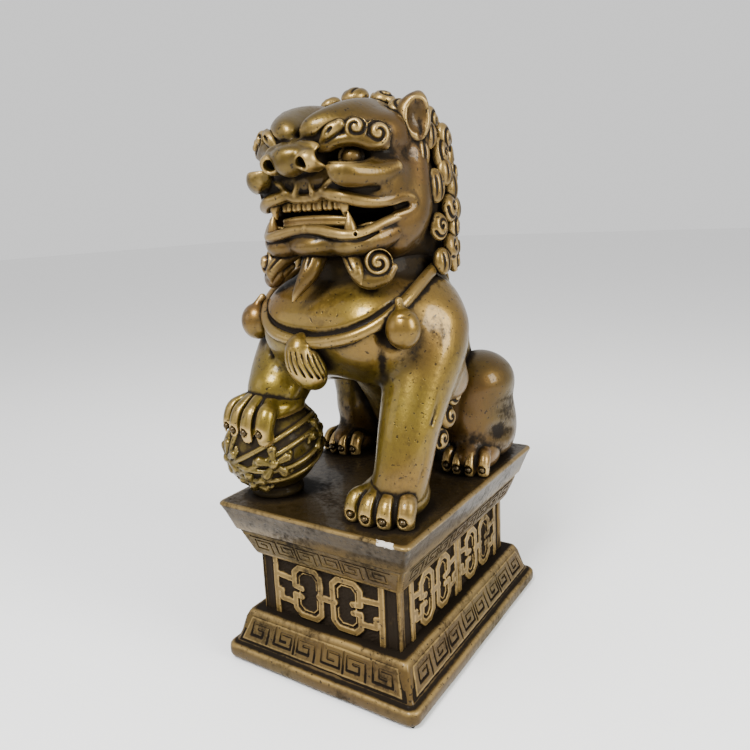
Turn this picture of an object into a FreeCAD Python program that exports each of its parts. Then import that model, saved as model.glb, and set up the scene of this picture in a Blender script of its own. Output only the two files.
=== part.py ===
import FreeCAD, Part
import math
import os

import Sketcher
from FreeCAD import Placement, Rotation, Vector

# A guardian lion (foo dog) seated on a stepped pedestal, right front paw on an
# embroidered ball. Millimetres, +Z up, origin at the bottom centre of the felt,
# the lion looks along -Y, and its own left side is +X.

doc = FreeCAD.newDocument("FooDogStatue")

# ---------------------------------------------------------------------------
# Driving dimensions
# ---------------------------------------------------------------------------

DIMENSIONS = {
    "felt_thickness": 1.0,
    "felt_inset": 2.0,
    "foot_width": 80.0,
    "foot_depth": 105.5,
    "foot_band_height": 6.0,
    "foot_corner_radius": 3.0,
    "foot_rim_width": 67.2,
    "foot_rim_depth": 92.6,
    "foot_rim_thickness": 1.0,
    "foot_top_height": 18.4,
    "key_panel_thickness": 1.3,
    "key_panel_border": 0.9,
    "key_groove_width": 0.8,
    "key_groove_depth": 0.7,
    "waist_width": 58.6,
    "waist_depth": 84.0,
    "waist_top_height": 40.7,
    "tenon_width": 30.0,
    "tenon_depth": 50.0,
    "tenon_length": 3.0,
    "corner_post_size": 6.0,
    "fret_back_thickness": 1.4,
    "fret_relief": 1.6,
    "fret_bar_width": 1.9,
    "fret_ring_diameter": 13.0,
    "pilaster_width": 4.0,
    "slab_bottom_width": 60.6,
    "slab_bottom_depth": 86.2,
    "slab_step_width": 69.0,
    "slab_step_depth": 94.6,
    "slab_step_height": 50.8,
    "slab_top_width": 77.5,
    "slab_top_depth": 103.0,
    "slab_top_height": 61.7,
    "figure_scale": 1.0,
    "ball_diameter": 36.6,
    "bell_diameter": 10.5,
    "curl_diameter": 9.6,
    "eye_diameter": 8.0,
    "collar_width": 3.2,
    "collar_thickness": 1.5,
    "neck_spigot_diameter": 16.0,
}

sheet = doc.addObject("Spreadsheet::Sheet", "Dimensions")
for row, (alias, number) in enumerate(DIMENSIONS.items(), start=1):
    sheet.set(f"A{row}", alias)
    sheet.set(f"B{row}", str(number))
    sheet.setAlias(f"B{row}", alias)
doc.recompute()

FRONT, LEFT_SIDE, BACK, RIGHT_SIDE = 0, 90, 180, 270   # turns about +Z; sides are the lion's own

nodes = {}


def size(alias):
    """A driving dimension as a number, for places worked out in code."""
    return float(sheet.get(alias))


def keep(node):
    """Registers a finished sub-part; its Label is the node's name."""
    nodes[node.Label] = node
    return node


# ---------------------------------------------------------------------------
# PartDesign helpers for the pedestal
# ---------------------------------------------------------------------------

def new_body(name):
    body = doc.addObject("PartDesign::Body", name)
    body.Label = name
    return body


def new_sketch(body, name, height=None, frame=None):
    """A sketch on the body's own XY plane, raised to a height or set in a face's frame."""
    sketch = body.newObject("Sketcher::SketchObject", name)
    plane = next(item for item in body.Origin.OriginFeatures if item.Role == "XY_Plane")
    sketch.AttachmentSupport = [(plane, "")]
    sketch.MapMode = "FlatFace"
    if frame is not None:
        sketch.AttachmentOffset = frame
    if height is not None:
        sketch.setExpression("AttachmentOffset.Base.z", height)
    return sketch


def add_outline(sketch, points):
    """A closed polygon through the points, its corners held together."""
    first = sketch.GeometryCount
    count = len(points)
    for i in range(count):
        start = Vector(*points[i], 0)
        end = Vector(*points[(i + 1) % count], 0)
        sketch.addGeometry(Part.LineSegment(start, end))
    for i in range(count):
        following = first + (i + 1) % count
        sketch.addConstraint(Sketcher.Constraint("Coincident", first + i, 2, following, 1))


def centred_rectangle(sketch, width, depth):
    """A rectangle about the sketch's origin, its sides bound to two expressions."""
    add_outline(sketch, [(-10, -10), (10, -10), (10, 10), (-10, 10)])
    for line, direction in enumerate(("Horizontal", "Vertical", "Horizontal", "Vertical")):
        sketch.addConstraint(Sketcher.Constraint(direction, line))
    sketch.addConstraint(Sketcher.Constraint("Symmetric", 0, 1, 1, 2, -1, 1))
    across = sketch.addConstraint(Sketcher.Constraint("DistanceX", 0, 1, 0, 2, 20.0))
    along = sketch.addConstraint(Sketcher.Constraint("DistanceY", 1, 1, 1, 2, 20.0))
    sketch.setExpression(f"Constraints[{across}]", width)
    sketch.setExpression(f"Constraints[{along}]", depth)


def pad(body, name, sketch, length):
    feature = body.newObject("PartDesign::Pad", name)
    feature.Profile = sketch
    feature.setExpression("Length", length)
    return feature


def pocket(body, name, sketch, length):
    feature = body.newObject("PartDesign::Pocket", name)
    feature.Profile = sketch
    feature.setExpression("Length", length)
    return feature


def loft(body, name, lower, upper):
    feature = body.newObject("PartDesign::AdditiveLoft", name)
    feature.Profile = lower
    feature.Sections = [upper]
    feature.Ruled = True
    return feature


def face_frame(turn, low, high):
    """The frame of a sloping side face: X along it, Y up its slope, Z out of it.

    low and high are (distance from the axis, height) of its two long edges.
    """
    run = high[0] - low[0]
    rise = high[1] - low[1]
    length = math.hypot(run, rise)
    up_slope = Vector(0, -run / length, rise / length)
    outward = Vector(0, -rise / length, -run / length)
    middle = Vector(0, -(low[0] + high[0]) / 2, (low[1] + high[1]) / 2)
    lying = Placement(middle, Rotation(Vector(1, 0, 0), up_slope, outward, "ZXY"))
    return Placement(Vector(), Rotation(Vector(0, 0, 1), turn)).multiply(lying)


def groove_outline(path, width):
    """The closed outline of a groove of this width along a path of straight runs."""
    reach = width / 2
    left, right = [], []
    for i, (x, y) in enumerate(path):
        sides = []
        for start, end in ((i - 1, i), (i, i + 1)):
            if start >= 0 and end < len(path):
                dx = path[end][0] - path[start][0]
                dy = path[end][1] - path[start][1]
                length = math.hypot(dx, dy)
                sides.append((-dy / length, dx / length))
        nx = sum(side[0] for side in sides)
        ny = sum(side[1] for side in sides)
        left.append((x + nx * reach, y + ny * reach))
        right.append((x - nx * reach, y - ny * reach))
    return left + right[::-1]


# One key unit in a unit square: up the right side, round and into a square spiral.
KEY_UNIT = ((0.86, 0.0), (0.86, 0.84), (0.16, 0.84), (0.16, 0.20), (0.62, 0.20), (0.62, 0.58), (0.38, 0.58))


def engrave_keys(body, name, frame, half_run, height, pairs):
    """Engraves a row of key units, each pair a unit and the same unit turned half round."""
    unit = 2 * half_run / (2 * pairs)
    groove = size("key_groove_width")
    sketch = new_sketch(body, f"{name}KeySketch", frame=frame)
    start = -half_run
    upright = [(start + x * unit, (y - 0.5) * height) for x, y in KEY_UNIT]
    turned = [(start + (2 - x) * unit, (0.5 - y) * height) for x, y in KEY_UNIT]
    add_outline(sketch, groove_outline(upright, groove))
    add_outline(sketch, groove_outline(turned, groove))
    cut = pocket(body, f"{name}KeyPocket", sketch, "Dimensions.key_groove_depth")
    row = body.newObject("PartDesign::LinearPattern", f"{name}KeyRow")
    row.Originals = [cut]
    row.Direction = (sketch, ["H_Axis"])
    row.Length = 2 * unit * (pairs - 1)
    row.Occurrences = pairs
    body.Tip = row
    return row


def edges_where(feature, test):
    """The names of a feature's straight edges whose two ends pass a test."""
    names = []
    for number, edge in enumerate(feature.Shape.Edges, start=1):
        if len(edge.Vertexes) == 2 and test(edge.Vertexes[0].Point, edge.Vertexes[1].Point):
            names.append(f"Edge{number}")
    return names


# ---------------------------------------------------------------------------
# Pedestal
# ---------------------------------------------------------------------------

def make_felt():
    body = new_body("base_felt")
    sketch = new_sketch(body, "FeltOutline")
    centred_rectangle(
        sketch,
        "Dimensions.foot_width - 2 * Dimensions.felt_inset",
        "Dimensions.foot_depth - 2 * Dimensions.felt_inset",
    )
    pad(body, "FeltSheet", sketch, "Dimensions.felt_thickness")
    keep(body)


def flare_edges(side):
    """Edge positions of the foot's core flare under the key panels, for one pair of sides.

    side is "width" or "depth"; returns (distance from the axis, height) low and high.
    """
    slope_gap = size("key_panel_thickness") + 0.2
    low = (size(f"foot_{side}") / 2 - slope_gap, size("foot_band_height"))
    high = (size(f"foot_rim_{side}") / 2 - slope_gap, size("foot_top_height"))
    return low, high


def make_foot():
    body = new_body("pedestal_foot")
    band_sketch = new_sketch(body, "BandOutline", height="Dimensions.felt_thickness")
    centred_rectangle(band_sketch, "Dimensions.foot_width", "Dimensions.foot_depth")
    band = pad(body, "Band", band_sketch, "Dimensions.foot_band_height - Dimensions.felt_thickness")
    doc.recompute()
    upright = edges_where(band, lambda a, b: abs(a.z - b.z) > 1)
    corners = body.newObject("PartDesign::Fillet", "BandCorners")
    corners.Base = (band, upright)
    corners.setExpression("Radius", "Dimensions.foot_corner_radius")
    doc.recompute()

    low_width, high_width = flare_edges("width")
    inset = size("foot_width") - 2 * low_width[0]
    low = new_sketch(body, "FlareLow", height="Dimensions.foot_band_height")
    centred_rectangle(low, f"Dimensions.foot_width - {inset:.4f}", f"Dimensions.foot_depth - {inset:.4f}")
    high = new_sketch(body, "FlareHigh", height="Dimensions.foot_top_height")
    centred_rectangle(
        high,
        f"Dimensions.foot_rim_width - {inset:.4f}",
        f"Dimensions.foot_rim_depth - {inset:.4f}",
    )
    loft(body, "Flare", low, high)

    rim = new_sketch(body, "RimOutline", height="Dimensions.foot_top_height - Dimensions.foot_rim_thickness")
    centred_rectangle(rim, "Dimensions.foot_rim_width", "Dimensions.foot_rim_depth")
    pad(body, "Rim", rim, "Dimensions.foot_rim_thickness")
    socket = new_sketch(body, "SocketOutline", height="Dimensions.foot_top_height")
    centred_rectangle(socket, "Dimensions.tenon_width", "Dimensions.tenon_depth")
    pocket(body, "TenonSocket", socket, "Dimensions.tenon_length")
    keep(body)


def make_foot_key_panel(name, turn, side, across, pairs):
    """A raised key-fret panel lying on one face of the flare, its ends cut to the mitre."""
    low, high = flare_edges(side)
    low_across, high_across = flare_edges(across)
    border = size("key_panel_border")
    slope = math.hypot(high[0] - low[0], high[1] - low[1])
    half_height = slope / 2 - border
    share = border / slope
    taper = low_across[0] - high_across[0]
    low_half = low_across[0] - taper * share - 0.2
    high_half = high_across[0] + taper * share - 0.2
    body = new_body(name)
    sketch = new_sketch(body, f"{name}Outline")
    add_outline(sketch, [
        (-low_half, -half_height),
        (low_half, -half_height),
        (high_half, half_height),
        (-high_half, half_height),
    ])
    pad(body, f"{name}Plate", sketch, "Dimensions.key_panel_thickness")
    face = Placement(Vector(0, 0, size("key_panel_thickness")), Rotation())
    engrave_keys(body, name, face, high_half - 0.8, 2 * half_height - 2.4, pairs)
    body.Placement = face_frame(turn, low, high)
    keep(body)


def make_waist():
    body = new_body("pedestal_waist")
    recess = "(Dimensions.fret_back_thickness + Dimensions.fret_relief)"
    height = "Dimensions.waist_top_height - Dimensions.foot_top_height"
    core = new_sketch(body, "CoreOutline", height="Dimensions.foot_top_height")
    centred_rectangle(
        core,
        f"Dimensions.waist_width - 2 * {recess}",
        f"Dimensions.waist_depth - 2 * {recess}",
    )
    pad(body, "Core", core, height)
    pilasters = new_sketch(body, "PilasterOutline", height="Dimensions.foot_top_height")
    centred_rectangle(pilasters, "Dimensions.waist_width - 0.6", "Dimensions.pilaster_width")
    pad(body, "Pilasters", pilasters, height)
    tenon = new_sketch(body, "TenonOutline", height="Dimensions.foot_top_height - Dimensions.tenon_length")
    centred_rectangle(tenon, "Dimensions.tenon_width", "Dimensions.tenon_depth")
    pad(body, "Tenons", tenon, f"{height} + 2 * Dimensions.tenon_length")
    keep(body)


def make_corner_post(name, side_x, side_y):
    """An L-shaped post standing in the notch at one corner of the waist's core."""
    body = new_body(name)
    outer_x = side_x * size("waist_width") / 2
    outer_y = side_y * size("waist_depth") / 2
    post = size("corner_post_size")
    notch = size("fret_back_thickness") + size("fret_relief")
    sketch = new_sketch(body, f"{name}Outline", height="Dimensions.foot_top_height")
    add_outline(sketch, [
        (outer_x, outer_y),
        (outer_x - side_x * post, outer_y),
        (outer_x - side_x * post, outer_y - side_y * notch),
        (outer_x - side_x * notch, outer_y - side_y * notch),
        (outer_x - side_x * notch, outer_y - side_y * post),
        (outer_x, outer_y - side_y * post),
    ])
    pad(body, f"{name}Post", sketch, "Dimensions.waist_top_height - Dimensions.foot_top_height")
    keep(body)


def bar(name, x, y, length, height):
    """A straight bar of the openwork, centred on (x, y) of its panel."""
    box = doc.addObject("Part::Box", name)
    box.Length = length
    box.Width = height
    box.setExpression("Height", "Dimensions.fret_relief")
    box.setExpression("Placement.Base.z", "Dimensions.fret_back_thickness")
    box.Placement.Base = Vector(x - length / 2, y - height / 2, size("fret_back_thickness"))
    return box


def octagon_ring(name, x):
    """An eight-sided ring of the openwork."""
    prisms = []
    for label, shrink in (("Outer", "0"), ("Inner", "Dimensions.fret_bar_width")):
        prism = doc.addObject("Part::Prism", f"{name}{label}")
        prism.Polygon = 8
        prism.setExpression("Circumradius", f"Dimensions.fret_ring_diameter / 2 - {shrink}")
        prism.setExpression("Height", "Dimensions.fret_relief")
        prism.Placement = Placement(
            Vector(x, 0, size("fret_back_thickness")),
            Rotation(Vector(0, 0, 1), 22.5),
        )
        prisms.append(prism)
    ring = doc.addObject("Part::Cut", name)
    ring.Base, ring.Tool = prisms
    return ring


def make_fret_panel(name, turn, reach, along, width):
    """An openwork relief panel: two linked octagonal rings between two edge strips.

    reach is the panel's back from the pedestal's axis, along its shift on that face.
    """
    height = size("waist_top_height") - size("foot_top_height")
    thick = size("fret_bar_width")
    ring_radius = size("fret_ring_diameter") / 2
    ring_x = width / 4
    inner_radius = ring_radius * math.cos(math.pi / 8)
    plate = doc.addObject("Part::Box", f"{name}Plate")
    plate.Length = width
    plate.Width = height
    plate.setExpression("Height", "Dimensions.fret_back_thickness")
    plate.Placement.Base = Vector(-width / 2, -height / 2, 0)
    elements = [plate]
    link = 2 * (ring_x - inner_radius) + thick
    elements.append(bar(f"{name}Link", 0, 0, link, thick))
    for side in (-1, 1):
        tag = f"{name}{'Left' if side < 0 else 'Right'}"
        strip_x = side * (width - thick) / 2
        elements.append(octagon_ring(f"{tag}Ring", side * ring_x))
        elements.append(bar(f"{tag}Strip", strip_x, 0, thick, height))
        hook = width / 2 - ring_x - inner_radius + thick
        elements.append(bar(f"{tag}Hook", side * (width / 2 - hook / 2), 0, hook, thick))
        for end in (-1, 1):
            level = end * (height - thick) / 2
            stem = height / 2 - inner_radius + thick / 2
            middle = end * (height / 2 - stem / 2)
            branch = width / 2 - ring_x
            elements.append(bar(f"{tag}Stem{end + 1}", side * ring_x, middle, thick, stem))
            branch_x = side * (width / 2 - branch / 2)
            elements.append(bar(f"{tag}Branch{end + 1}", branch_x, level, branch, thick))
    panel = doc.addObject("Part::MultiFuse", name)
    panel.Label = name
    panel.Shapes = elements
    middle = (size("waist_top_height") + size("foot_top_height")) / 2
    upright = face_frame(turn, (reach, middle - 1), (reach, middle + 1))
    panel.Placement = upright.multiply(Placement(Vector(along, 0, 0), Rotation()))
    keep(panel)


def make_fret_panels():
    back = size("fret_back_thickness") + size("fret_relief")
    post = size("corner_post_size")
    front_width = size("waist_width") - 2 * post
    side_width = size("waist_depth") / 2 - post - size("pilaster_width") / 2
    side_shift = (size("pilaster_width") + side_width) / 2
    front_reach = size("waist_depth") / 2 - back
    side_reach = size("waist_width") / 2 - back
    make_fret_panel("fret_panel_front", FRONT, front_reach, 0, front_width)
    make_fret_panel("fret_panel_back", BACK, front_reach, 0, front_width)
    make_fret_panel("fret_panel_left_front", LEFT_SIDE, side_reach, -side_shift, side_width)
    make_fret_panel("fret_panel_left_rear", LEFT_SIDE, side_reach, side_shift, side_width)
    make_fret_panel("fret_panel_right_front", RIGHT_SIDE, side_reach, side_shift, side_width)
    make_fret_panel("fret_panel_right_rear", RIGHT_SIDE, side_reach, -side_shift, side_width)


def make_slab_key_band():
    """The cornice's lower layer: a flare engraved with keys on all four faces."""
    body = new_body("slab_key_band")
    low = new_sketch(body, "KeyBandLow", height="Dimensions.waist_top_height")
    centred_rectangle(low, "Dimensions.slab_bottom_width", "Dimensions.slab_bottom_depth")
    high = new_sketch(body, "KeyBandHigh", height="Dimensions.slab_step_height")
    centred_rectangle(high, "Dimensions.slab_step_width", "Dimensions.slab_step_depth")
    loft(body, "KeyBandFlare", low, high)
    socket = new_sketch(body, "KeyBandSocketOutline", height="Dimensions.waist_top_height")
    centred_rectangle(socket, "Dimensions.tenon_width", "Dimensions.tenon_depth")
    recess = pocket(body, "KeyBandSocket", socket, "Dimensions.tenon_length")
    recess.Reversed = True
    rise = size("slab_step_height") - size("waist_top_height")
    for turn, side, across, pairs in (
        (FRONT, "depth", "width", 3),
        (LEFT_SIDE, "width", "depth", 4),
        (BACK, "depth", "width", 3),
        (RIGHT_SIDE, "width", "depth", 4),
    ):
        low_edge = (size(f"slab_bottom_{side}") / 2, size("waist_top_height"))
        high_edge = (size(f"slab_step_{side}") / 2, size("slab_step_height"))
        frame = face_frame(turn, low_edge, high_edge)
        half_run = size(f"slab_bottom_{across}") / 2 - 0.8
        engrave_keys(body, f"Band{turn}", frame, half_run, rise - 2.0, pairs)
    keep(body)


def make_top_slab():
    body = new_body("pedestal_top_slab")
    low = new_sketch(body, "SlabLow", height="Dimensions.slab_step_height")
    centred_rectangle(low, "Dimensions.slab_step_width", "Dimensions.slab_step_depth")
    high = new_sketch(body, "SlabHigh", height="Dimensions.slab_top_height")
    centred_rectangle(high, "Dimensions.slab_top_width", "Dimensions.slab_top_depth")
    loft(body, "SlabFlare", low, high)
    keep(body)


def make_pedestal():
    make_felt()
    make_foot()
    make_foot_key_panel("foot_key_panel_front", FRONT, "depth", "width", 3)
    make_foot_key_panel("foot_key_panel_back", BACK, "depth", "width", 3)
    make_foot_key_panel("foot_key_panel_left", LEFT_SIDE, "width", "depth", 4)
    make_foot_key_panel("foot_key_panel_right", RIGHT_SIDE, "width", "depth", 4)
    make_waist()
    make_fret_panels()
    for front_or_rear, side_y in (("front", -1), ("rear", 1)):
        for hand, side_x in (("right", -1), ("left", 1)):
            make_corner_post(f"corner_post_{front_or_rear}_{hand}", side_x, side_y)
    make_slab_key_band()
    make_top_slab()


# ---------------------------------------------------------------------------
# Figure helpers: every place is given from the middle of the slab's top
# ---------------------------------------------------------------------------

def on_slab(item, x, y, z, rotation=None):
    """Places an item at a point above the slab, which grows with the figure's scale."""
    item.Placement = Placement(Vector(x, y, z), rotation or Rotation())
    item.setExpression("Placement.Base.x", f"{x:.3f} * Dimensions.figure_scale")
    item.setExpression("Placement.Base.y", f"{y:.3f} * Dimensions.figure_scale")
    item.setExpression("Placement.Base.z", f"Dimensions.slab_top_height + {z:.3f} * Dimensions.figure_scale")
    return item


def scaled(item, **sizes):
    for prop, number in sizes.items():
        item.setExpression(prop, f"{number:.3f} * Dimensions.figure_scale")
    return item


def sphere(name, centre, radius, seam=None):
    """A ball form, its seam turned to mirror that of its partner unless a turn is given."""
    if seam is None:
        seam = 180 if centre[0] < 0 else 0
    item = doc.addObject("Part::Sphere", name)
    scaled(item, Radius=radius)
    return on_slab(item, *centre, Rotation(Vector(0, 0, 1), seam))


def rod(name, start, end, start_radius, end_radius):
    """A straight rod from one point to another, tapering if its radii differ."""
    axis = Vector(*end) - Vector(*start)
    if start_radius == end_radius:
        item = doc.addObject("Part::Cylinder", name)
        scaled(item, Radius=start_radius, Height=axis.Length)
    else:
        item = doc.addObject("Part::Cone", name)
        scaled(item, Radius1=start_radius, Radius2=end_radius, Height=axis.Length)
    return on_slab(item, *start, Rotation(Vector(0, 0, 1), axis))


def fuse(name, *items):
    whole = doc.addObject("Part::MultiFuse", name)
    whole.Shapes = list(items)
    return whole


def group(name, items):
    """Separate solids that share one node."""
    whole = doc.addObject("Part::Compound", name)
    whole.Links = list(items)
    return whole


def trim(name, base, *tools):
    """The base with each tool's volume taken out, as a finished node."""
    result = base
    for number, tool in enumerate(tools, start=1):
        cut = doc.addObject("Part::Cut", f"{name}_cut{number}")
        cut.Base = result
        cut.Tool = tool
        result = cut
    result.Label = name
    return keep(result)


def limb(name, start, end, start_radius, end_radius):
    """A rod with rounded ends."""
    return fuse(
        name,
        sphere(f"{name}Top", start, start_radius),
        rod(f"{name}Shaft", start, end, start_radius, end_radius),
        sphere(f"{name}End", end, end_radius),
    )


def toe_points(centre, half_width, half_depth):
    """The centres of a paw's four toes, in an arc across its front."""
    x, y, z = centre
    for number in range(4):
        across = (number - 1.5) / 1.5
        reach = half_depth * (0.84 - 0.14 * across * across)
        yield x + across * half_width * 0.64, y - reach, z


def paw(name, centre, half_width, half_depth, seam=None):
    """A paw form: a domed instep and heel with four round toes across the front."""
    x, y, z = centre
    toe = half_width * 0.36
    parts = [
        sphere(f"{name}Instep", (x, y, z), half_width * 0.86, seam),
        sphere(f"{name}Heel", (x, y + half_depth * 0.45, z + 0.5), half_width * 0.74, seam),
    ]
    for number, point in enumerate(toe_points(centre, half_width, half_depth), start=1):
        parts.append(sphere(f"{name}Toe{number}", point, toe, seam))
    return fuse(name, *parts)


# ---------------------------------------------------------------------------
# Figure
# ---------------------------------------------------------------------------

LEFT, RIGHT = ("left", 1), ("right", -1)

# Masses of the body and the head: (name, centre, radius)
TRUNK_MASSES = (
    ("ChestLeft", (11, -16.5, 61), 25),
    ("ChestRight", (-11, -16.5, 61), 25),
    ("Back", (0, 9, 52), 24),
    ("RumpUpper", (0, 24, 38), 20.5),
    ("RumpLower", (0, 29, 20), 19),
)
HEAD_MASSES = (
    ("Crown", (0, -6, 112.5), 23),
    ("Mane", (0, 2, 97), 28.5),
    ("ForeheadLeft", (10, -20, 119), 13),
    ("ForeheadRight", (-10, -20, 119), 13),
    ("FaceLeft", (12, -28, 108), 13.5),
    ("FaceRight", (-12, -28, 108), 13.5),
    ("Snout", (0, -41.5, 110), 8.5),
    ("CheekLeft", (18.5, -21, 100), 10.5),
    ("CheekRight", (-18.5, -21, 100), 10.5),
)
PAWS = {
    "left_front": ((21, -31, 4), 12.5, 13.5),
    "right_front": ((-25, -38, 33), 11.5, 13),
    "left_hind": ((28, 17, 4), 9.5, 12),
    "right_hind": ((-28, 17, 4), 9.5, 12),
}
BALL_CENTRE = (-26, -33, 17.8)


def masses(prefix, table, grow=0.0):
    """A fused form from a table of round masses, each grown outwards by the same amount."""
    items = [sphere(f"{prefix}{name}", centre, radius + grow) for name, centre, radius in table]
    return fuse(f"{prefix}Form", *items)


def trunk_form(prefix, table, grow=0.0):
    """The trunk's form: its masses, with the two halves of the chest joined by a barrel."""
    (_, left, radius), (_, right, _) = table[0], table[1]
    barrel = rod(f"{prefix}Barrel", left, right, radius + grow, radius + grow)
    return fuse(f"{prefix}Whole", masses(prefix, table, grow), barrel)


def make_under_slab():
    """The space below the slab's top, which nothing of the figure enters."""
    box = doc.addObject("Part::Box", "UnderSlab")
    box.setExpression("Length", "2 * Dimensions.foot_width")
    box.setExpression("Width", "2 * Dimensions.foot_depth")
    box.setExpression("Height", "Dimensions.slab_top_height")
    box.setExpression("Placement.Base.x", "-Dimensions.foot_width")
    box.setExpression("Placement.Base.y", "-Dimensions.foot_depth")
    return box


def make_strap(name, form, low, high, thickness, depth, clearance):
    """A flat strap that follows a form: the form cut to a thin tilted slice."""
    span = size("foot_width")
    slope = math.degrees(math.atan2(high[1] - low[1], high[0] - low[0]))
    slice_box = doc.addObject("Part::Box", f"{name}Slice")
    slice_box.Length = 2 * span
    slice_box.Width = depth
    slice_box.setExpression("Height", thickness)
    on_slab(slice_box, -span, low[0] - clearance, low[1] - clearance * math.tan(math.radians(slope)),
            Rotation(Vector(1, 0, 0), slope))
    strap = doc.addObject("Part::Common", f"{name}Strap")
    strap.Base = form
    strap.Tool = slice_box
    return strap


def make_ball(under_slab):
    item = doc.addObject("Part::Sphere", "BallForm")
    item.setExpression("Radius", "Dimensions.ball_diameter / 2")
    on_slab(item, *BALL_CENTRE)
    return trim("ball", item, under_slab)


def make_forelegs(trunk, paws, ball, under_slab):
    left = limb("LeftForelegForm", (27, -15, 50), (25, -28, 11), 12, 9.5)
    right = limb("RightForelegForm", (-26, -15, 54), (-23, -33, 40), 12.5, 9.8)
    trim("left_foreleg", left, trunk, paws["left_front"], under_slab)
    trim("right_foreleg", right, trunk, paws["right_front"], ball)


def make_hind_legs(trunk, paws, under_slab):
    for hand, side in (LEFT, RIGHT):
        haunch = sphere(f"{hand}Haunch", (side * 17, 29, 22), 20.2)
        trim(f"{hand}_hind_leg", haunch, trunk, paws[f"{hand}_hind"], under_slab)


def make_paws(ball, under_slab):
    forms = {}
    claws = []
    for name, (centre, half_width, half_depth) in PAWS.items():
        seam = 270 if name == "right_front" else None
        forms[name] = paw(f"{name}PawForm", centre, half_width, half_depth, seam)
        toe = half_width * 0.36
        for number, (x, y, z) in enumerate(toe_points(centre, half_width, half_depth), start=1):
            claws.append(sphere(f"{name}Claw{number}", (x, y - toe * 0.8, z - toe * 0.4), 1.5))
    finished = []
    for name, form in forms.items():
        tool = ball if name == "right_front" else under_slab
        finished.append(trim(f"{name}_paw", form, tool))
    trim("claws", group("ClawForms", claws), *finished)
    return forms


def make_mouth_space():
    box = doc.addObject("Part::Box", "MouthSpace")
    scaled(box, Length=46, Width=20, Height=10)
    return on_slab(box, -23, -53, 92.5)


def make_jaw_and_teeth(head, mouth):
    jaw_form = fuse(
        "JawForm",
        sphere("JawLeft", (9, -28, 88), 10),
        sphere("JawRight", (-9, -28, 88), 10),
        rod("JawBar", (-9, -28, 88), (9, -28, 88), 10, 10),
        sphere("Chin", (0, -39, 88.5), 7.5),
    )
    jaw = trim("lower_jaw", jaw_form, head, mouth)
    for name, root, tip, reach, canine_x in (
        ("upper_teeth", 104, 97.5, -36.0, 12.8),
        ("lower_teeth", 88, 95.0, -36.5, 14.5),
    ):
        teeth = []
        for number in range(6):
            x = (number - 2.5) * 3.2
            y = reach + x * x * 0.03
            teeth.append(rod(f"{name}Incisor{number + 1}", (x, y, root), (x, y, tip), 1.5, 1.3))
        for side in (-1, 1):
            x = side * canine_x
            y = reach + 5
            point = tip + 0.35 * (tip - root)
            teeth.append(rod(f"{name}Canine{side + 1}", (x, y, root), (x, y, point), 2.4, 0.4))
        trim(name, group(f"{name}Forms", teeth), head, jaw)
    return jaw


def make_eyes():
    eyes = []
    for hand, side in (LEFT, RIGHT):
        eye = sphere(f"{hand}EyeForm", (side * 13.0, -37.5, 112.5), size("eye_diameter") / 2)
        eye.setExpression("Radius", "Dimensions.eye_diameter / 2")
        eye.Label = f"{hand}_eye"
        eyes.append(keep(eye))
    return eyes


def make_face_details(head, jaw, trunk):
    for hand, side in (LEFT, RIGHT):
        middle, rim = (side * 25, -14.5, 123.8), (side * 28.5, -20, 125.5)
        shell = sphere(f"{hand}EarShell", middle, 6.0)
        hollow = rod(f"{hand}EarHollow", middle, rim, 2.0, 5.0)
        trim(f"{hand}_ear", shell, hollow, head)
        brow = fuse(
            f"{hand}BrowForm",
            sphere(f"{hand}BrowCurlInner", (side * 8.5, -36.5, 119.5), 3.8),
            sphere(f"{hand}BrowCurlMiddle", (side * 14.5, -35, 120.5), 4.1),
            sphere(f"{hand}BrowCurlOuter", (side * 20.5, -31, 119.5), 4.0),
        )
        trim(f"{hand}_brow", brow, head)
        curl = fuse(
            f"{hand}JawCurlForm",
            sphere(f"{hand}JawCurlBoss", (side * 22.5, -32, 80.5), 6),
            sphere(f"{hand}JawCurlEye", (side * 22.5, -37.5, 80.5), 2.4),
        )
        trim(f"{hand}_jaw_curl", curl, head, jaw, trunk)
    beard = rod("GoateeForm", (0, -43.5, 84), (0, -41.5, 70), 5.5, 0.6)
    trim("goatee", beard, jaw, head, trunk)
    tufts = []
    for hand, side in (LEFT, RIGHT):
        tufts.append(rod(f"{hand}TuftForm", (side * 12, -37, 84), (side * 15, -40, 76), 3.5, 0.5))
    trim("chin_tufts", group("TuftForms", tufts), jaw, head, trunk)


# Mane rows, from the crown down: (height above the slab, ring radius)
MANE_ROWS = ((134, 9.5), (127, 18.5), (117.5, 24.5), (107, 27.8), (97, 29), (87, 27.5), (77, 22.5))
CROWN_ROWS = 2
MANE_HALF_ARC = 118.0          # degrees each side of straight back
NAPE_HALF_ARC = 35.0


def make_mane(head, ears, trunk):
    """Rows of domed curls over the crown, the sides of the head and the nape."""
    regions = {"crown_curls": [], "left_mane_curls": [], "right_mane_curls": [], "nape_curls": []}
    pitch = size("curl_diameter") + 0.6
    for row, (height, ring) in enumerate(MANE_ROWS):
        count = 1 + int(2 * math.radians(MANE_HALF_ARC) * ring / pitch)
        for number in range(count):
            angle = MANE_HALF_ARC * (2 * number / (count - 1) - 1)
            x = ring * math.sin(math.radians(angle))
            y = ring * math.cos(math.radians(angle)) * 0.93
            if row < CROWN_ROWS:
                region = "crown_curls"
            elif abs(angle) < NAPE_HALF_ARC:
                region = "nape_curls"
            else:
                region = "left_mane_curls" if angle > 0 else "right_mane_curls"
            curl = sphere(f"Curl{row}x{number}", (x, y, height), size("curl_diameter") / 2)
            curl.setExpression("Radius", "Dimensions.curl_diameter / 2")
            regions[region].append(curl)
    for region, curls in regions.items():
        trim(region, group(f"{region}Forms", curls), head, *ears, trunk)


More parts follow.
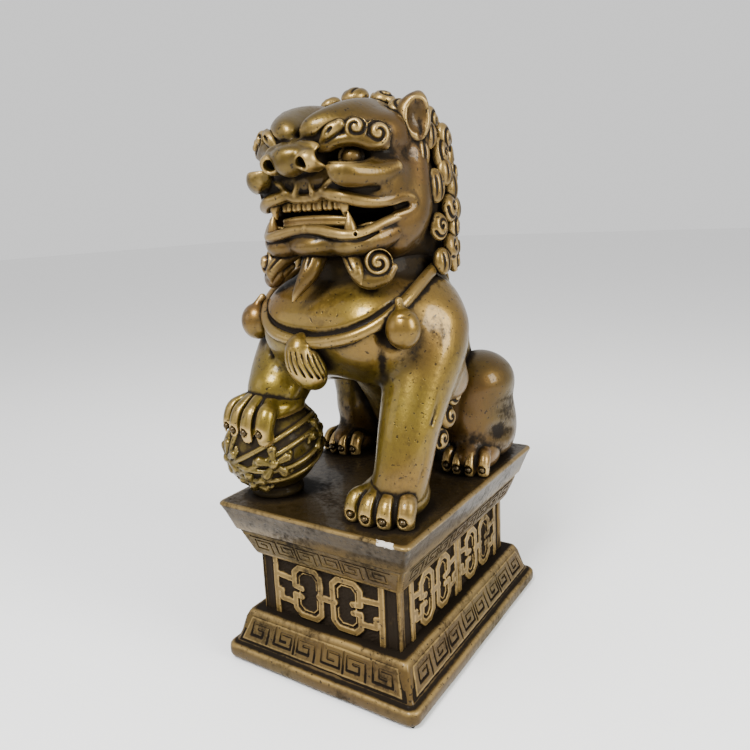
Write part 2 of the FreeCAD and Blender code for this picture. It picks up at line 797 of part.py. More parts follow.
def make_collar_and_bells(trunk, head, hair):
    grown = trunk_form("Collar", TRUNK_MASSES[:3], size("collar_thickness"))
    strap = make_strap("Collar", grown, (-41, 57.3), (-10, 77.3), "Dimensions.collar_width", 50, 12)
    collar = trim("collar", strap, trunk, head, *hair)
    tassel = fuse(
        "TasselForm",
        rod("TasselBell", (0, -40.5, 56), (0, -39.5, 45), 3.0, 4.8),
        sphere("TasselTip", (0, -39.7, 44.5), 3.0),
    )
    trim("chest_bell", tassel, trunk, collar)
    for hand, side in (LEFT, RIGHT):
        bell = sphere(f"{hand}BellForm", (side * 31.0, -33.5, 60.8), size("bell_diameter") / 2)
        bell.setExpression("Radius", "Dimensions.bell_diameter / 2")
        trim(f"{hand}_bell", bell, trunk, collar)


def make_body_details(trunk, head, legs):
    for hand, side in (LEFT, RIGHT):
        curls = []
        for number, (x, y, z) in enumerate(((31, -2, 36), (31, -6, 28), (31, -10, 20))):
            curls.append(sphere(f"{hand}ElbowCurl{number}", (side * x, y, z), 4.6))
        trim(f"{hand}_elbow_curls", fuse(f"{hand}ElbowCurlForm", *curls), trunk, *legs[hand])
    tail_form = fuse(
        "TailForm",
        limb("TailRoot", (0, 43.5, 10), (0, 44, 34), 4.5, 6),
        limb("TailFlame", (0, 44, 34), (0, 38, 64), 6.0, 3.0),
    )
    tail = trim("tail", tail_form, trunk)
    ridge = []
    for number in range(4):
        ridge.append(sphere(f"RidgeBoss{number}", (0, 26 + 4.5 * number, 66 - 5.5 * number), 4.5))
    trim("spine_ridge", fuse("RidgeForm", *ridge), trunk, head, tail)


def make_figure():
    under_slab = make_under_slab()
    spigot = doc.addObject("Part::Cylinder", "NeckSpigot")
    spigot.setExpression("Radius", "Dimensions.neck_spigot_diameter / 2")
    scaled(spigot, Height=25)
    on_slab(spigot, 0, -3, 60)
    whole_head = fuse("HeadWithSpigot", masses("Head", HEAD_MASSES), spigot)
    trunk = trim("body_trunk", trunk_form("Trunk", TRUNK_MASSES), whole_head, under_slab)
    ball = make_ball(under_slab)
    paws = make_paws(ball, under_slab)
    make_forelegs(trunk, paws, ball, under_slab)
    make_hind_legs(trunk, paws, under_slab)
    eyes = make_eyes()
    mouth = make_mouth_space()
    head = trim("head", whole_head, mouth, *eyes)
    jaw = make_jaw_and_teeth(head, mouth)
    make_face_details(head, jaw, trunk)
    make_mane(whole_head, (nodes["left_ear"], nodes["right_ear"]), trunk)
    hair = (nodes["left_jaw_curl"], nodes["right_jaw_curl"], nodes["goatee"])
    make_collar_and_bells(trunk, head, hair)
    legs = {
        "left": (nodes["left_foreleg"], nodes["left_hind_leg"]),
        "right": (nodes["right_foreleg"], nodes["right_hind_leg"], ball),
    }
    make_body_details(trunk, head, legs)


# ---------------------------------------------------------------------------
# Build, check and write
# ---------------------------------------------------------------------------

def check_document():
    failed = [item.Label for item in doc.Objects if {"Invalid", "Error"} & set(item.State)]
    for name, node in nodes.items():
        if node.Shape.isNull() or not node.Shape.isValid() or not node.Shape.Solids:
            failed.append(name)
    if failed:
        raise RuntimeError(f"failed: {', '.join(failed)}")


def write_parts():
    os.makedirs("parts", exist_ok=True)
    for name, node in nodes.items():
        node.Shape.exportStep(f"parts/{name}.step")


make_pedestal()
make_figure()
doc.recompute()
check_document()
write_parts()
for name, node in nodes.items():
    print(f"{name}: {len(node.Shape.Solids)} solid(s), {node.Shape.Volume:.0f} mm3")
print(f"{len(nodes)} nodes")
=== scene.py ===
import math

import bpy
import numpy as np
import openvdb
from mathutils import Matrix, Vector


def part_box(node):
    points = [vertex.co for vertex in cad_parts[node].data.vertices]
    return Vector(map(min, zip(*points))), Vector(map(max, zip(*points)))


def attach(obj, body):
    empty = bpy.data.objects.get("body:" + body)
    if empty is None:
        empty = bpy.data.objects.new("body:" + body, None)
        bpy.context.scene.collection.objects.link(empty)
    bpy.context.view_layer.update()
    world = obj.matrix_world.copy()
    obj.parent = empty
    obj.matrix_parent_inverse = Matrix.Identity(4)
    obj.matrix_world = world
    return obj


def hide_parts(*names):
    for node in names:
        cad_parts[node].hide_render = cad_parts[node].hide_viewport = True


# A guardian lion on a stepped pedestal. The figure's pieces are modelled as clay: distance
# fields in millimetres that forms are added to and cut from, and then skinned. The
# pedestal's pieces are swept rings and relief panels that stand on the CAD part's own boxes.

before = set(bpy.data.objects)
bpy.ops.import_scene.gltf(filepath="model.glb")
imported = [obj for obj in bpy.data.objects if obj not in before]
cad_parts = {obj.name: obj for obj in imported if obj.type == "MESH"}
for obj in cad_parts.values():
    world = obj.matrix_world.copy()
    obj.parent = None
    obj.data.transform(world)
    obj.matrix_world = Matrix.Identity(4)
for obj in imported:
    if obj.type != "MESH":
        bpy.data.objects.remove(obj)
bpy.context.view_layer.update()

MM = 0.001
COARSE = 1.0


def node_box(node):
    """The lowest and highest corner of a CAD node, in millimetres."""
    low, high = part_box(node)
    return np.array(low) / MM, np.array(high) / MM


FOOT_LOW, FOOT_HIGH = node_box("pedestal_foot")
SLAB_HIGH = node_box("pedestal_top_slab")[1]
SLAB_TOP = float(SLAB_HIGH[2])

# ---------------------------------------------------------------------------
# Clay: forms and fields
# ---------------------------------------------------------------------------

FAR = 6.0                      # distances beyond this are not kept
REACH = 3.0                    # how far outside a form its distances are still written


def unit(v):
    v = np.asarray(v, float)
    return v / np.linalg.norm(v)


def turned(x, y, z, centre, turn):
    """Coordinates of points in a frame at a centre; turn's rows are that frame's axes."""
    x, y, z = x - centre[0], y - centre[1], z - centre[2]
    if turn is None:
        return x, y, z
    return tuple(axis[0] * x + axis[1] * y + axis[2] * z for axis in turn)


def rotation(rx=0.0, ry=0.0, rz=0.0):
    """Rows are the axes of a frame turned by degrees about X, then Y, then Z."""
    turn = Matrix.Rotation(math.radians(rz), 3, "Z") @ Matrix.Rotation(math.radians(ry), 3, "Y")
    turn = turn @ Matrix.Rotation(math.radians(rx), 3, "X")
    return np.array(turn.transposed(), np.float32)


def axes_along(normal, up=(0, 0, 1)):
    """Rows: two tangents and the normal itself."""
    normal = unit(normal)
    side = np.cross(up, normal)
    if np.linalg.norm(side) < 1e-3:
        side = np.cross((0, 1, 0), normal)
    side = unit(side)
    return np.array([side, np.cross(normal, side), normal], np.float32)


class Form:
    """A shape: its box and its signed distance."""

    def __init__(self, low, high, distance):
        self.low = np.asarray(low, float)
        self.high = np.asarray(high, float)
        self.distance = distance


def egg(centre, radii, turn=None):
    """An ellipsoid."""
    centre = np.asarray(centre, float)
    reach = max(radii) if turn is not None else np.asarray(radii, float)

    def distance(x, y, z):
        x, y, z = turned(x, y, z, centre, turn)
        near = np.sqrt((x / radii[0]) ** 2 + (y / radii[1]) ** 2 + (z / radii[2]) ** 2) + 1e-6
        steep = np.sqrt((x / radii[0] ** 2) ** 2 + (y / radii[1] ** 2) ** 2
                        + (z / radii[2] ** 2) ** 2) + 1e-6
        return near * (near - 1.0) / steep

    return Form(centre - reach, centre + reach, distance)


def tube(points, radii):
    """A rounded rope through points."""
    points = np.asarray(points, float)
    radii = np.broadcast_to(np.asarray(radii, float), (len(points),))

    def distance(x, y, z):
        best = None
        for a, b, ra, rb in zip(points[:-1], points[1:], radii[:-1], radii[1:]):
            ab = b - a
            px, py, pz = x - a[0], y - a[1], z - a[2]
            along = (px * ab[0] + py * ab[1] + pz * ab[2]) / max(float(ab @ ab), 1e-9)
            along = np.clip(along, 0.0, 1.0)
            dx, dy, dz = px - along * ab[0], py - along * ab[1], pz - along * ab[2]
            d = np.sqrt(dx * dx + dy * dy + dz * dz) - (ra + (rb - ra) * along)
            best = d if best is None else np.minimum(best, d)
        return best

    reach = float(radii.max())
    return Form(points.min(0) - reach, points.max(0) + reach, distance)


def smooth_path(points, pieces=6):
    """A Catmull-Rom curve through points of any number of columns."""
    points = np.asarray(points, float)
    ends = np.vstack([2 * points[0] - points[1], points, 2 * points[-1] - points[-2]])
    out = []
    for i in range(1, len(ends) - 2):
        p0, p1, p2, p3 = ends[i - 1], ends[i], ends[i + 1], ends[i + 2]
        for j in range(pieces):
            t = j / pieces
            out.append(0.5 * (2 * p1 + (p2 - p0) * t + (2 * p0 - 5 * p1 + 4 * p2 - p3) * t * t
                              + (3 * p1 - p0 - 3 * p2 + p3) * t ** 3))
    out.append(points[-1])
    return np.array(out)


def rope(points, pieces=6):
    """A tube along a smooth curve through rows of x, y, z, radius."""
    curve = smooth_path(points, pieces)
    return tube(curve[:, :3], np.maximum(curve[:, 3], 0.05))


def half_space(point, normal):
    """Everything behind a plane, within a wide box."""
    point, normal = np.asarray(point, float), unit(normal)
    wide = 200.0

    def distance(x, y, z):
        return (x - point[0]) * normal[0] + (y - point[1]) * normal[1] + (z - point[2]) * normal[2]

    return Form(point - wide, point + wide, distance)


BELOW_SLAB = half_space((0, 0, -0.4), (0, 0, 1))


def snail(centre, normal, radius, height, turns=2.0, hand=1, start=0.0, depth=0.9):
    """A domed boss with a spiral groove, its round face along the normal."""
    turn = axes_along(normal)
    centre = np.asarray(centre, float)

    def distance(x, y, z):
        u, v, w = turned(x, y, z, centre, turn)
        near = np.sqrt((u * u + v * v) / radius ** 2 + (w / height) ** 2) + 1e-6
        steep = np.sqrt((u * u + v * v) / radius ** 4 + (w / height ** 2) ** 2) + 1e-6
        dome = near * (near - 1.0) / steep
        rho = np.sqrt(u * u + v * v)
        theta = np.arctan2(v, u) * hand + start
        pitch = radius / turns
        arm = rho / pitch - theta / (2 * math.pi)
        gap = np.abs(arm - np.round(arm)) * pitch
        groove = np.exp(-(gap / (0.24 * pitch)) ** 2)
        groove = groove * np.clip((rho - 0.12 * radius) / (0.15 * radius), 0, 1)
        groove = groove * np.clip((0.98 * radius - rho) / (0.12 * radius), 0, 1)
        return dome + depth * groove

    reach = max(radius, height)
    return Form(centre - reach, centre + reach, distance)


class Clay:
    """A signed distance field on a grid, in millimetres above the slab, negative inside."""

    def __init__(self, low, high, voxel):
        self.voxel = voxel * COARSE
        self.low = np.asarray(low, float)
        self.shape = tuple(int(math.ceil((h - l) / self.voxel)) + 1 for l, h in zip(low, high))
        self.field = np.full(self.shape, FAR, np.float32)

    def window(self, low, high):
        first = [max(0, int((l - o) / self.voxel)) for l, o in zip(low, self.low)]
        last = [min(n, int((h - o) / self.voxel) + 2)
                for h, o, n in zip(high, self.low, self.shape)]
        if any(l <= f for f, l in zip(first, last)):
            return None, None
        axes = []
        for i in range(3):
            line = (self.low[i] + self.voxel * np.arange(first[i], last[i])).astype(np.float32)
            axes.append(line.reshape([-1 if j == i else 1 for j in range(3)]))
        return tuple(slice(f, l) for f, l in zip(first, last)), axes

    def change(self, form, blend, join):
        margin = max(REACH, blend * 1.2)
        window, axes = self.window(form.low - margin, form.high + margin)
        if window is None:
            return self
        old = self.field[window]
        new = form.distance(*axes).astype(np.float32)
        sign = 1.0 if join else -1.0
        a, b = sign * old, new
        result = np.minimum(a, b)
        if blend > 0:
            near = np.maximum(blend - np.abs(a - b), 0.0) / blend
            result = result - near * near * blend * 0.25
        self.field[window] = np.clip(sign * result, -FAR, FAR)
        return self

    def add(self, form, blend=0.0):
        return self.change(form, blend, True)

    def cut(self, form, blend=0.0):
        return self.change(form, blend, False)

    def soften(self, cells):
        """Rounds off the joins between forms."""
        self.field = box_blur(self.field, cells, 2)
        return self

    def mirrored(self, method, forms, blend):
        for form in forms:
            getattr(self, method)(form, blend)
            getattr(self, method)(mirror(form), blend)
        return self

    def add_pair(self, *forms, blend=0.0):
        return self.mirrored("add", forms, blend)

    def cut_pair(self, *forms, blend=0.0):
        return self.mirrored("cut", forms, blend)


def mirror(form):
    """The same form on the other side of the figure's middle plane."""
    low, high = form.low.copy(), form.high.copy()
    low[0], high[0] = -form.high[0], -form.low[0]
    return Form(low, high, lambda x, y, z: form.distance(-x, y, z))


def clay_for(forms, voxel, margin=1.5):
    """An empty clay just large enough for some forms."""
    low = np.min([form.low for form in forms], axis=0) - margin
    high = np.max([form.high for form in forms], axis=0) + margin
    return Clay(low, high, voxel)


def box_blur(field, cells, rounds=2):
    """A soft blur: running means along each axis."""
    out = field
    for _ in range(rounds):
        for axis in range(3):
            count = out.shape[axis]
            pad = [(0, 0)] * 3
            pad[axis] = (cells + 1, cells)
            total = np.cumsum(np.pad(out, pad, mode="edge"), axis=axis, dtype=np.float32)
            high = np.take(total, range(2 * cells + 1, 2 * cells + 1 + count), axis=axis)
            low = np.take(total, range(count), axis=axis)
            out = (high - low) / (2 * cells + 1)
    return out


def sample(field, low, voxel, points):
    """Trilinear values of a field at points."""
    place = (points - low) / voxel
    top = np.array(field.shape) - 1.001
    place = np.clip(place, 0, top)
    base = place.astype(int)
    part = place - base
    value = np.zeros(len(points), np.float32)
    for dx in (0, 1):
        for dy in (0, 1):
            for dz in (0, 1):
                weight = np.abs(1 - np.array((dx, dy, dz)) - part).prod(axis=1)
                value += weight * field[base[:, 0] + dx, base[:, 1] + dy, base[:, 2] + dz]
    return value


# ---------------------------------------------------------------------------
# Pieces
# ---------------------------------------------------------------------------

SIDES = ((1, "left"), (-1, "right"))      # the lion's own sides, left along +X
pieces = []                    # every clay piece, until the crevices are measured


def skin(clay):
    """The clay's surface: points in millimetres above the slab, and four-sided faces."""
    grid = openvdb.FloatGrid(FAR)
    padded = np.pad(clay.field, 1, constant_values=FAR)
    grid.copyFromArray(padded)
    points, quads = grid.convertToQuads(0.0)
    points = (points - 1.0) * clay.voxel + clay.low
    return points.astype(float), quads.astype(np.int64)


def new_object(name, points, faces):
    mesh = bpy.data.meshes.new(name)
    mesh.vertices.add(len(points))
    mesh.vertices.foreach_set("co", np.asarray(points, np.float32).ravel())
    sizes = np.array([len(face) for face in faces], np.int32) if isinstance(faces, list) else None
    if sizes is None:
        sizes = np.full(len(faces), faces.shape[1], np.int32)
        flat = faces.ravel().astype(np.int32)
    else:
        flat = np.concatenate([np.asarray(face, np.int32) for face in faces])
    mesh.loops.add(len(flat))
    mesh.loops.foreach_set("vertex_index", flat)
    mesh.polygons.add(len(sizes))
    starts = np.concatenate([[0], np.cumsum(sizes)[:-1]]).astype(np.int32)
    mesh.polygons.foreach_set("loop_start", starts)
    mesh.polygons.foreach_set("loop_total", sizes)
    mesh.polygons.foreach_set("use_smooth", np.ones(len(sizes), bool))
    mesh.update(calc_edges=True)
    mesh.validate()
    obj = bpy.data.objects.new(name, mesh)
    bpy.context.scene.collection.objects.link(obj)
    return obj


def set_attribute(obj, name, values):
    layer = obj.data.attributes.new(name, "FLOAT", "POINT")
    layer.data.foreach_set("value", np.asarray(values, np.float32))


def add_piece(name, clays, material, replaced):
    """Skins clays as one object that stands for CAD nodes."""
    clays = clays if isinstance(clays, list) else [clays]
    points, faces, fine = [], [], []
    base = 0
    for clay in clays:
        p, f = skin(clay)
        if not len(f):
            continue
        cells = max(1, round(0.55 / clay.voxel))
        worn = box_blur(np.clip(clay.field, -1.6, 1.6), cells)
        fine.append(sample(worn, clay.low, clay.voxel, p))
        points.append(p)
        faces.append(f + base)
        base += len(p)
    points, faces, fine = np.vstack(points), np.vstack(faces), np.concatenate(fine)
    world = (points + np.array([0, 0, SLAB_TOP])) * MM
    obj = new_object(name, world, faces)
    set_attribute(obj, "edge", fine)
    obj.data.materials.append(material)
    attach(obj, "root")
    if replaced:
        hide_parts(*replaced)
    pieces.append((obj, points, clays))
    return obj


CREVICE_VOXEL = 0.8


def measure_crevices(others):
    """Writes how enclosed each surface point is, from all the clay pieces and the slab together;
    the materials paint patina and shade from it.
    """
    low = np.array([-46.0, -56.0, -6.0])
    high = np.array([46.0, 56.0, 142.0])
    voxel = CREVICE_VOXEL
    lines = [low[i] + voxel * np.arange(int((high[i] - low[i]) / voxel) + 1) for i in range(3)]
    room = np.full([len(line) for line in lines], FAR, np.float32)
    slab = lines[2][None, None, :] * np.ones_like(room)
    half_x, half_y = SLAB_HIGH[0], SLAB_HIGH[1]
    side = np.maximum(np.abs(lines[0])[:, None, None] - half_x,
                      np.abs(lines[1])[None, :, None] - half_y)
    room = np.minimum(room, np.maximum(slab, side)).astype(np.float32)
    for _, _, clays in pieces:
        for clay in clays:
            picks, windows = [], []
            for i in range(3):
                index = np.round((lines[i] - clay.low[i]) / clay.voxel).astype(int)
                good = np.nonzero((index >= 0) & (index < clay.shape[i]))[0]
                picks.append(index[good])
                windows.append(slice(good[0], good[-1] + 1) if len(good) else None)
            if any(window is None for window in windows):
                continue
            window = tuple(windows)
            room[window] = np.minimum(room[window], clay.field[np.ix_(*picks)])
    # Fine enclosure: the materials paint patina and shade from it in creases and where pieces meet
    near = box_blur(np.clip(room, -2.5, 2.5), 1, 3)
    # Broad enclosure: the materials paint shade from it under the chin, behind the legs and between
    # parts
    wide = box_blur(np.clip(room, -5.0, 5.0), 4, 3)
    for obj, points, _ in pieces:
        set_attribute(obj, "crevice", sample(near, low, voxel, points))
        set_attribute(obj, "hollow", sample(wide, low, voxel, points))
    # The slab's top takes the same values: a painted contact shadow and broad painted shade round
    # the figure's feet
    for obj, names in others:
        points = np.empty(len(obj.data.vertices) * 3, np.float32)
        obj.data.vertices.foreach_get("co", points)
        points = points.reshape(-1, 3) / MM - (0, 0, SLAB_TOP)
        for name, field in zip(names, (near, wide)):
            values = np.empty(len(points), np.float32)
            layer = obj.data.attributes[name].data
            layer.foreach_get("value", values)
            top = points[:, 2] > -0.8
            inner = (np.abs(points[:, :2]) < SLAB_HIGH[:2] - 3.0).all(axis=1)
            values[top & inner] = sample(field, low, voxel, points[top & inner])
            layer.foreach_set("value", values)


# ---------------------------------------------------------------------------
# Materials
# ---------------------------------------------------------------------------

class Nodes:
    """A short way to write a material's node tree."""

    def __init__(self, name):
        self.material = bpy.data.materials.new(name)
        self.material.use_nodes = True
        self.tree = self.material.node_tree
        self.tree.nodes.clear()

    def add(self, kind, **settings):
        node = self.tree.nodes.new(kind)
        for key, value in settings.items():
            setattr(node, key, value)
        return node

    def put(self, value, socket):
        if isinstance(value, bpy.types.NodeSocket):
            self.tree.links.new(value, socket)
        else:
            socket.default_value = value

    def math(self, operation, a, b=0.0):
        node = self.add("ShaderNodeMath", operation=operation)
        self.put(a, node.inputs[0])
        self.put(b, node.inputs[1])
        return node.outputs[0]

    def span(self, value, low, high, to_low=0.0, to_high=1.0):
        node = self.add("ShaderNodeMapRange", interpolation_type="SMOOTHSTEP")
        for place, item in enumerate((value, low, high, to_low, to_high)):
            self.put(item, node.inputs[place])
        return node.outputs[0]

    def mix(self, factor, a, b):
        node = self.add("ShaderNodeMix", data_type="RGBA")
        self.put(factor, node.inputs[0])
        self.put(a, node.inputs[6])
        self.put(b, node.inputs[7])
        return node.outputs[2]

    def noise(self, place, scale, detail=4.0, roughness=0.55):
        node = self.add("ShaderNodeTexNoise")
        self.put(place, node.inputs["Vector"])
        node.inputs["Scale"].default_value = scale
        node.inputs["Detail"].default_value = detail
        node.inputs["Roughness"].default_value = roughness
        return node.outputs[0]

    def attribute(self, name):
        return self.add("ShaderNodeAttribute", attribute_name=name).outputs["Fac"]

    def shader(self):
        """A principled shader, wired to the material's output."""
        shader = self.add("ShaderNodeBsdfPrincipled")
        self.put(shader.outputs[0], self.add("ShaderNodeOutputMaterial").inputs[0])
        return shader.inputs

    def place(self):
        return self.add("ShaderNodeTexCoord").outputs["Object"]

    def patch(self, place, box, noise):
        """1 inside a ragged box given as (centre, half sizes) in millimetres, 0 outside."""
        axes = self.add("ShaderNodeSeparateXYZ")
        self.put(place, axes.inputs[0])
        reach = self.math("MULTIPLY", self.math("SUBTRACT", noise, 0.5), 2.4)
        for axis, middle, half in zip("XYZ", *box):
            off = self.math("ABSOLUTE", self.math("SUBTRACT", axes.outputs[axis], middle * MM), 0.0)
            part = self.math("MULTIPLY", off, 1.0 / (half * MM))
            far = part if axis == "X" else self.math("MAXIMUM", far, part)
        return self.span(self.math("ADD", far, reach), 0.94, 1.0, 1.0, 0.0)


def colour(red, green, blue):
    return (red, green, blue, 1.0)


PALE_RESIN = colour(0.50, 0.47, 0.42)      # the casting's core, where the finish is chipped
GRIME = colour(0.055, 0.034, 0.009)
# Deep patina in the hollows, and also the painted shade of creases, recesses and places under and
# between parts
DEEP_PATINA_AND_SHADE = (0.0075, 0.0050, 0.0028)
RUBBED = (0.46, 0.31, 0.11)


def antique_brass(name, gold, warm, gleam=1.0, patina_and_shade_spread=0.0, bright=RUBBED,
                  deep=DEEP_PATINA_AND_SHADE, chip=None):
    """Brass paint: dark patina and painted shade where it is hollow or enclosed, rubbed bright
    where it stands out.
    """
    n = Nodes(name)
    place = n.place()
    mottle = n.noise(place, 60.0, 5.0)
    fine = n.noise(place, 520.0, 5.0, 0.65)
    drift = n.noise(place, 14.0, 2.0)
    edge, crevice, hollow = n.attribute("edge"), n.attribute("crevice"), n.attribute("hollow")
    stain = n.math("ADD", n.math("MULTIPLY", n.math("SUBTRACT", mottle, 0.5), 0.75),
                   n.math("MULTIPLY", n.math("SUBTRACT", fine, 0.5), 0.55))
    # Patina and painted shade where the pieces together close round a point: creases and where
    # parts meet
    near = n.span(n.math("ADD", crevice, stain), -0.27 + patina_and_shade_spread, 0.09 + patina_and_shade_spread, 1.0, 0.0)
    # Patina and painted shade in each piece's own fine grooves
    close = n.span(n.math("ADD", edge, n.math("MULTIPLY", stain, 0.22)), -0.13 + patina_and_shade_spread,
                   -0.015 + patina_and_shade_spread, 1.0, 0.0)
    # Painted shade over broad enclosed places: under the chin, behind the legs, between parts
    wide = n.span(n.math("ADD", hollow, n.math("MULTIPLY", stain, 1.6)), -0.85, 0.14, 0.94, 0.0)
    dark = n.math("MAXIMUM", n.math("MAXIMUM", near, close), wide)
    worn = n.span(n.math("ADD", edge, n.math("MULTIPLY", stain, 0.1)), 0.07, 0.24)
    tint = n.mix(n.span(drift, 0.40, 0.60), colour(*gold), colour(*warm))
    smut = n.span(n.math("ADD", n.math("MULTIPLY", mottle, 0.55),
                         n.math("MULTIPLY", fine, 0.45)), 0.45, 0.65)
    base = n.mix(n.math("MULTIPLY", smut, 0.66), tint, GRIME)
    base = n.mix(n.math("MULTIPLY", worn, 0.75), base, colour(*bright))
    pits = n.noise(place, 820.0, 1.0)
    base = n.mix(n.math("MULTIPLY", n.span(pits, 0.67, 0.71), 0.80), base, colour(*deep))
    # The enclosed places take the deep colour: patina together with painted shade
    base = n.mix(dark, base, colour(*deep))
    metal = n.span(dark, 0.0, 1.0, 0.80, 0.0)
    if chip:
        bare = n.patch(place, chip, fine)
        base = n.mix(bare, base, PALE_RESIN)
        metal = n.math("MULTIPLY", metal, n.math("SUBTRACT", 1.0, bare))
    shader = n.shader()
    n.put(base, shader["Base Color"])
    n.put(metal, shader["Metallic"])
    rough = n.math("ADD", n.math("MULTIPLY", mottle, 0.22), 0.22 / gleam)
    n.put(n.math("ADD", rough, n.math("MULTIPLY", dark, 0.30)), shader["Roughness"])
    n.put(n.span(dark, 0.1, 0.9, 0.20, 0.06), shader["Specular IOR Level"])
    n.put(n.span(dark, 0.1, 0.9, 0.26 * gleam, 0.03 * gleam), shader["Coat Weight"])
    shader["Coat Roughness"].default_value = 0.10
    bump = n.add("ShaderNodeBump")
    height = n.math("ADD", n.math("MULTIPLY", n.span(pits, 0.66, 0.72, 1.0, 0.0), 0.30),
                    n.math("MULTIPLY", fine, 0.35))
    height = n.math("ADD", height, n.math("MULTIPLY", mottle, 1.1))
    n.put(height, bump.inputs["Height"])
    bump.inputs["Strength"].default_value = 0.35
    bump.inputs["Distance"].default_value = 0.0007
    n.put(bump.outputs[0], shader["Normal"])
    return n.material


# Each finish's deep colour and its patina setting give its patina and painted shade in enclosed
# places
LION = antique_brass("antique_brass", (0.148, 0.102, 0.012), (0.142, 0.073, 0.019))
HEAD = antique_brass("antique_brass_head", (0.082, 0.053, 0.008), (0.078, 0.040, 0.010),
                     gleam=0.80, patina_and_shade_spread=0.02, bright=(0.36, 0.24, 0.08))
CURLS = antique_brass("antique_brass_curls", (0.108, 0.070, 0.011), (0.100, 0.054, 0.011),
                      gleam=0.85, patina_and_shade_spread=0.10, bright=(0.36, 0.24, 0.08))
BALL = antique_brass("antique_brass_ball", (0.080, 0.056, 0.008), (0.060, 0.034, 0.009),
                     gleam=0.90, patina_and_shade_spread=0.02, bright=(0.20, 0.14, 0.04), deep=(0.012, 0.008, 0.004))
CLAW = antique_brass("dark_claws", (0.018, 0.012, 0.006), (0.014, 0.010, 0.006),
                     bright=(0.10, 0.065, 0.02))
DETAIL = antique_brass("antique_brass_details", (0.160, 0.100, 0.020), (0.145, 0.080, 0.022),
                       gleam=0.85, patina_and_shade_spread=0.05, bright=(0.40, 0.27, 0.09))
PLINTH = antique_brass("dull_brass", (0.104, 0.069, 0.018), (0.092, 0.055, 0.016),
                       gleam=0.55, patina_and_shade_spread=0.02, bright=(0.26, 0.172, 0.058))
WAIST = antique_brass("dull_brass_waist", (0.160, 0.104, 0.027), (0.138, 0.084, 0.023),
                      gleam=0.55, bright=(0.38, 0.25, 0.084), deep=(0.012, 0.008, 0.0045))
SLAB = antique_brass("dark_slab", (0.041, 0.026, 0.008), (0.031, 0.019, 0.007), gleam=0.75,
                     bright=(0.25, 0.165, 0.056), chip=((30.6, -51.2, 61.3), (3.0, 1.1, 0.9)))


def felt_material():
    n = Nodes("felt")
    fuzz = n.noise(n.place(), 900.0, 6.0, 0.7)
    shader = n.shader()
    n.put(n.mix(fuzz, colour(0.020, 0.022, 0.020),
                colour(0.045, 0.047, 0.044)), shader["Base Color"])
    shader["Roughness"].default_value = 0.97
    shader["Specular IOR Level"].default_value = 0.1
    return n.material


# ---------------------------------------------------------------------------
# The lion's body
# ---------------------------------------------------------------------------

def sculpt_trunk():
    clay = Clay((-44, -48, -1.2), (44, 52, 88), 0.46)
    clay.add(egg((0, -15, 60.5), (30, 26.5, 17.5)))
    clay.add_pair(egg((15, -19, 59.5), (16, 21, 16.5)), blend=6)
    clay.add(egg((0, -12, 50), (21, 20, 14)), 6)
    clay.add(egg((0, 4, 60), (27, 24, 24)), 8)
    clay.add(egg((0, 18, 46), (25, 20, 26)), 8)
    clay.add(egg((0, 29, 27), (23, 19, 27)), 8)
    clay.add(egg((0, -4, 78), (24, 26, 16)), 3)
    clay.add_pair(egg((26.5, -8, 57), (9.5, 15, 18), rotation(8, 0, 0)), blend=5)
    # Left foreleg, standing
    clay.add(rope([(27.5, -10, 58, 11), (26.6, -13.5, 50, 12.2), (25.8, -20.5, 38, 11.1),
                   (25.8, -26.5, 27, 9.9), (25.4, -29.5, 17, 9.3), (24, -30.5, 9, 9.2)]), 4)
    # Right foreleg, reaching to the ball
    clay.add(rope([(-27, -10, 60, 11), (-26.8, -15, 53, 12.4), (-25.5, -24, 44, 11.8),
                   (-23.6, -31.5, 37.5, 10.6)]), 4)
    # Elbows and the hollow behind the forelegs
    clay.add_pair(egg((29, -4.5, 40), (7, 9, 8)), blend=4)
    clay.cut(egg((0, -26, 26), (15.5, 26, 17)), 3)
    clay.cut_pair(egg((33, 9, 48), (6, 8, 12)), blend=4)
    clay.soften(2)
    # Creases where the chest meets the arms, and a slit along the outer foreleg
    clay.cut_pair(rope([(24.5, -36.5, 66, 0.2), (24.4, -37.2, 60, 0.6), (23.0, -35.5, 53, 0.5),
                        (19, -30, 45, 0.2)]), blend=3)
    clay.cut_pair(egg((29.2, -35.4, 60.4), (7.2, 5.0, 7.2)), blend=2.0)
    clay.cut(rope([(37.4, -24, 47, 0.2), (37.6, -24, 41, 0.9), (36.6, -25.5, 36, 0.8),
                   (35.2, -28, 31, 0.2)]), 1.2)
    clay.cut(rope([(35.2, -31, 23, 0.2), (34.8, -32.5, 18, 0.6), (33.5, -34, 13, 0.2)]), 0.8)
    clay.cut(rope([tuple(np.array(q) + (0, 0, 2.7)) + (0.9,) for q in collar_path()], 4), 1.4)
    # Ribs
    for y, top in ((14, 62), (20.5, 58), (27, 52)):
        clay.cut_pair(rope([(17, y - 4, top, 0.4), (25.5, y, top - 10, 0.9),
                            (27, y + 2, top - 20, 0.4)]), blend=2.5)
    clay.cut(BELOW_SLAB)
    return clay


def sculpt_haunch(side):
    clay = Clay((6, -2, -1.2), (44, 52, 52), 0.42)
    clay.add(egg((24.5, 29.5, 20.5), (12.8, 19, 21)))
    clay.add(egg((27.2, 27.5, 32.2), (12, 14, 10.4)), 5)
    clay.add(egg((28.4, 37.4, 10), (8, 9.6, 12)), 5)
    clay.add(rope([(29, 30, 9, 8), (28.6, 20, 7, 6), (27.8, 12, 5.5, 5)]), 4)
    clay.soften(1)
    clay.cut(rope([(37, 12, 16.5, 1.8), (37.4, 20, 14.6, 2.6), (38.4, 28, 12.4, 2.2),
                   (39.4, 37, 10.4, 0.6)]), 2.6)
    clay.cut(BELOW_SLAB)
    return clay if side > 0 else mirrored_clay(clay)


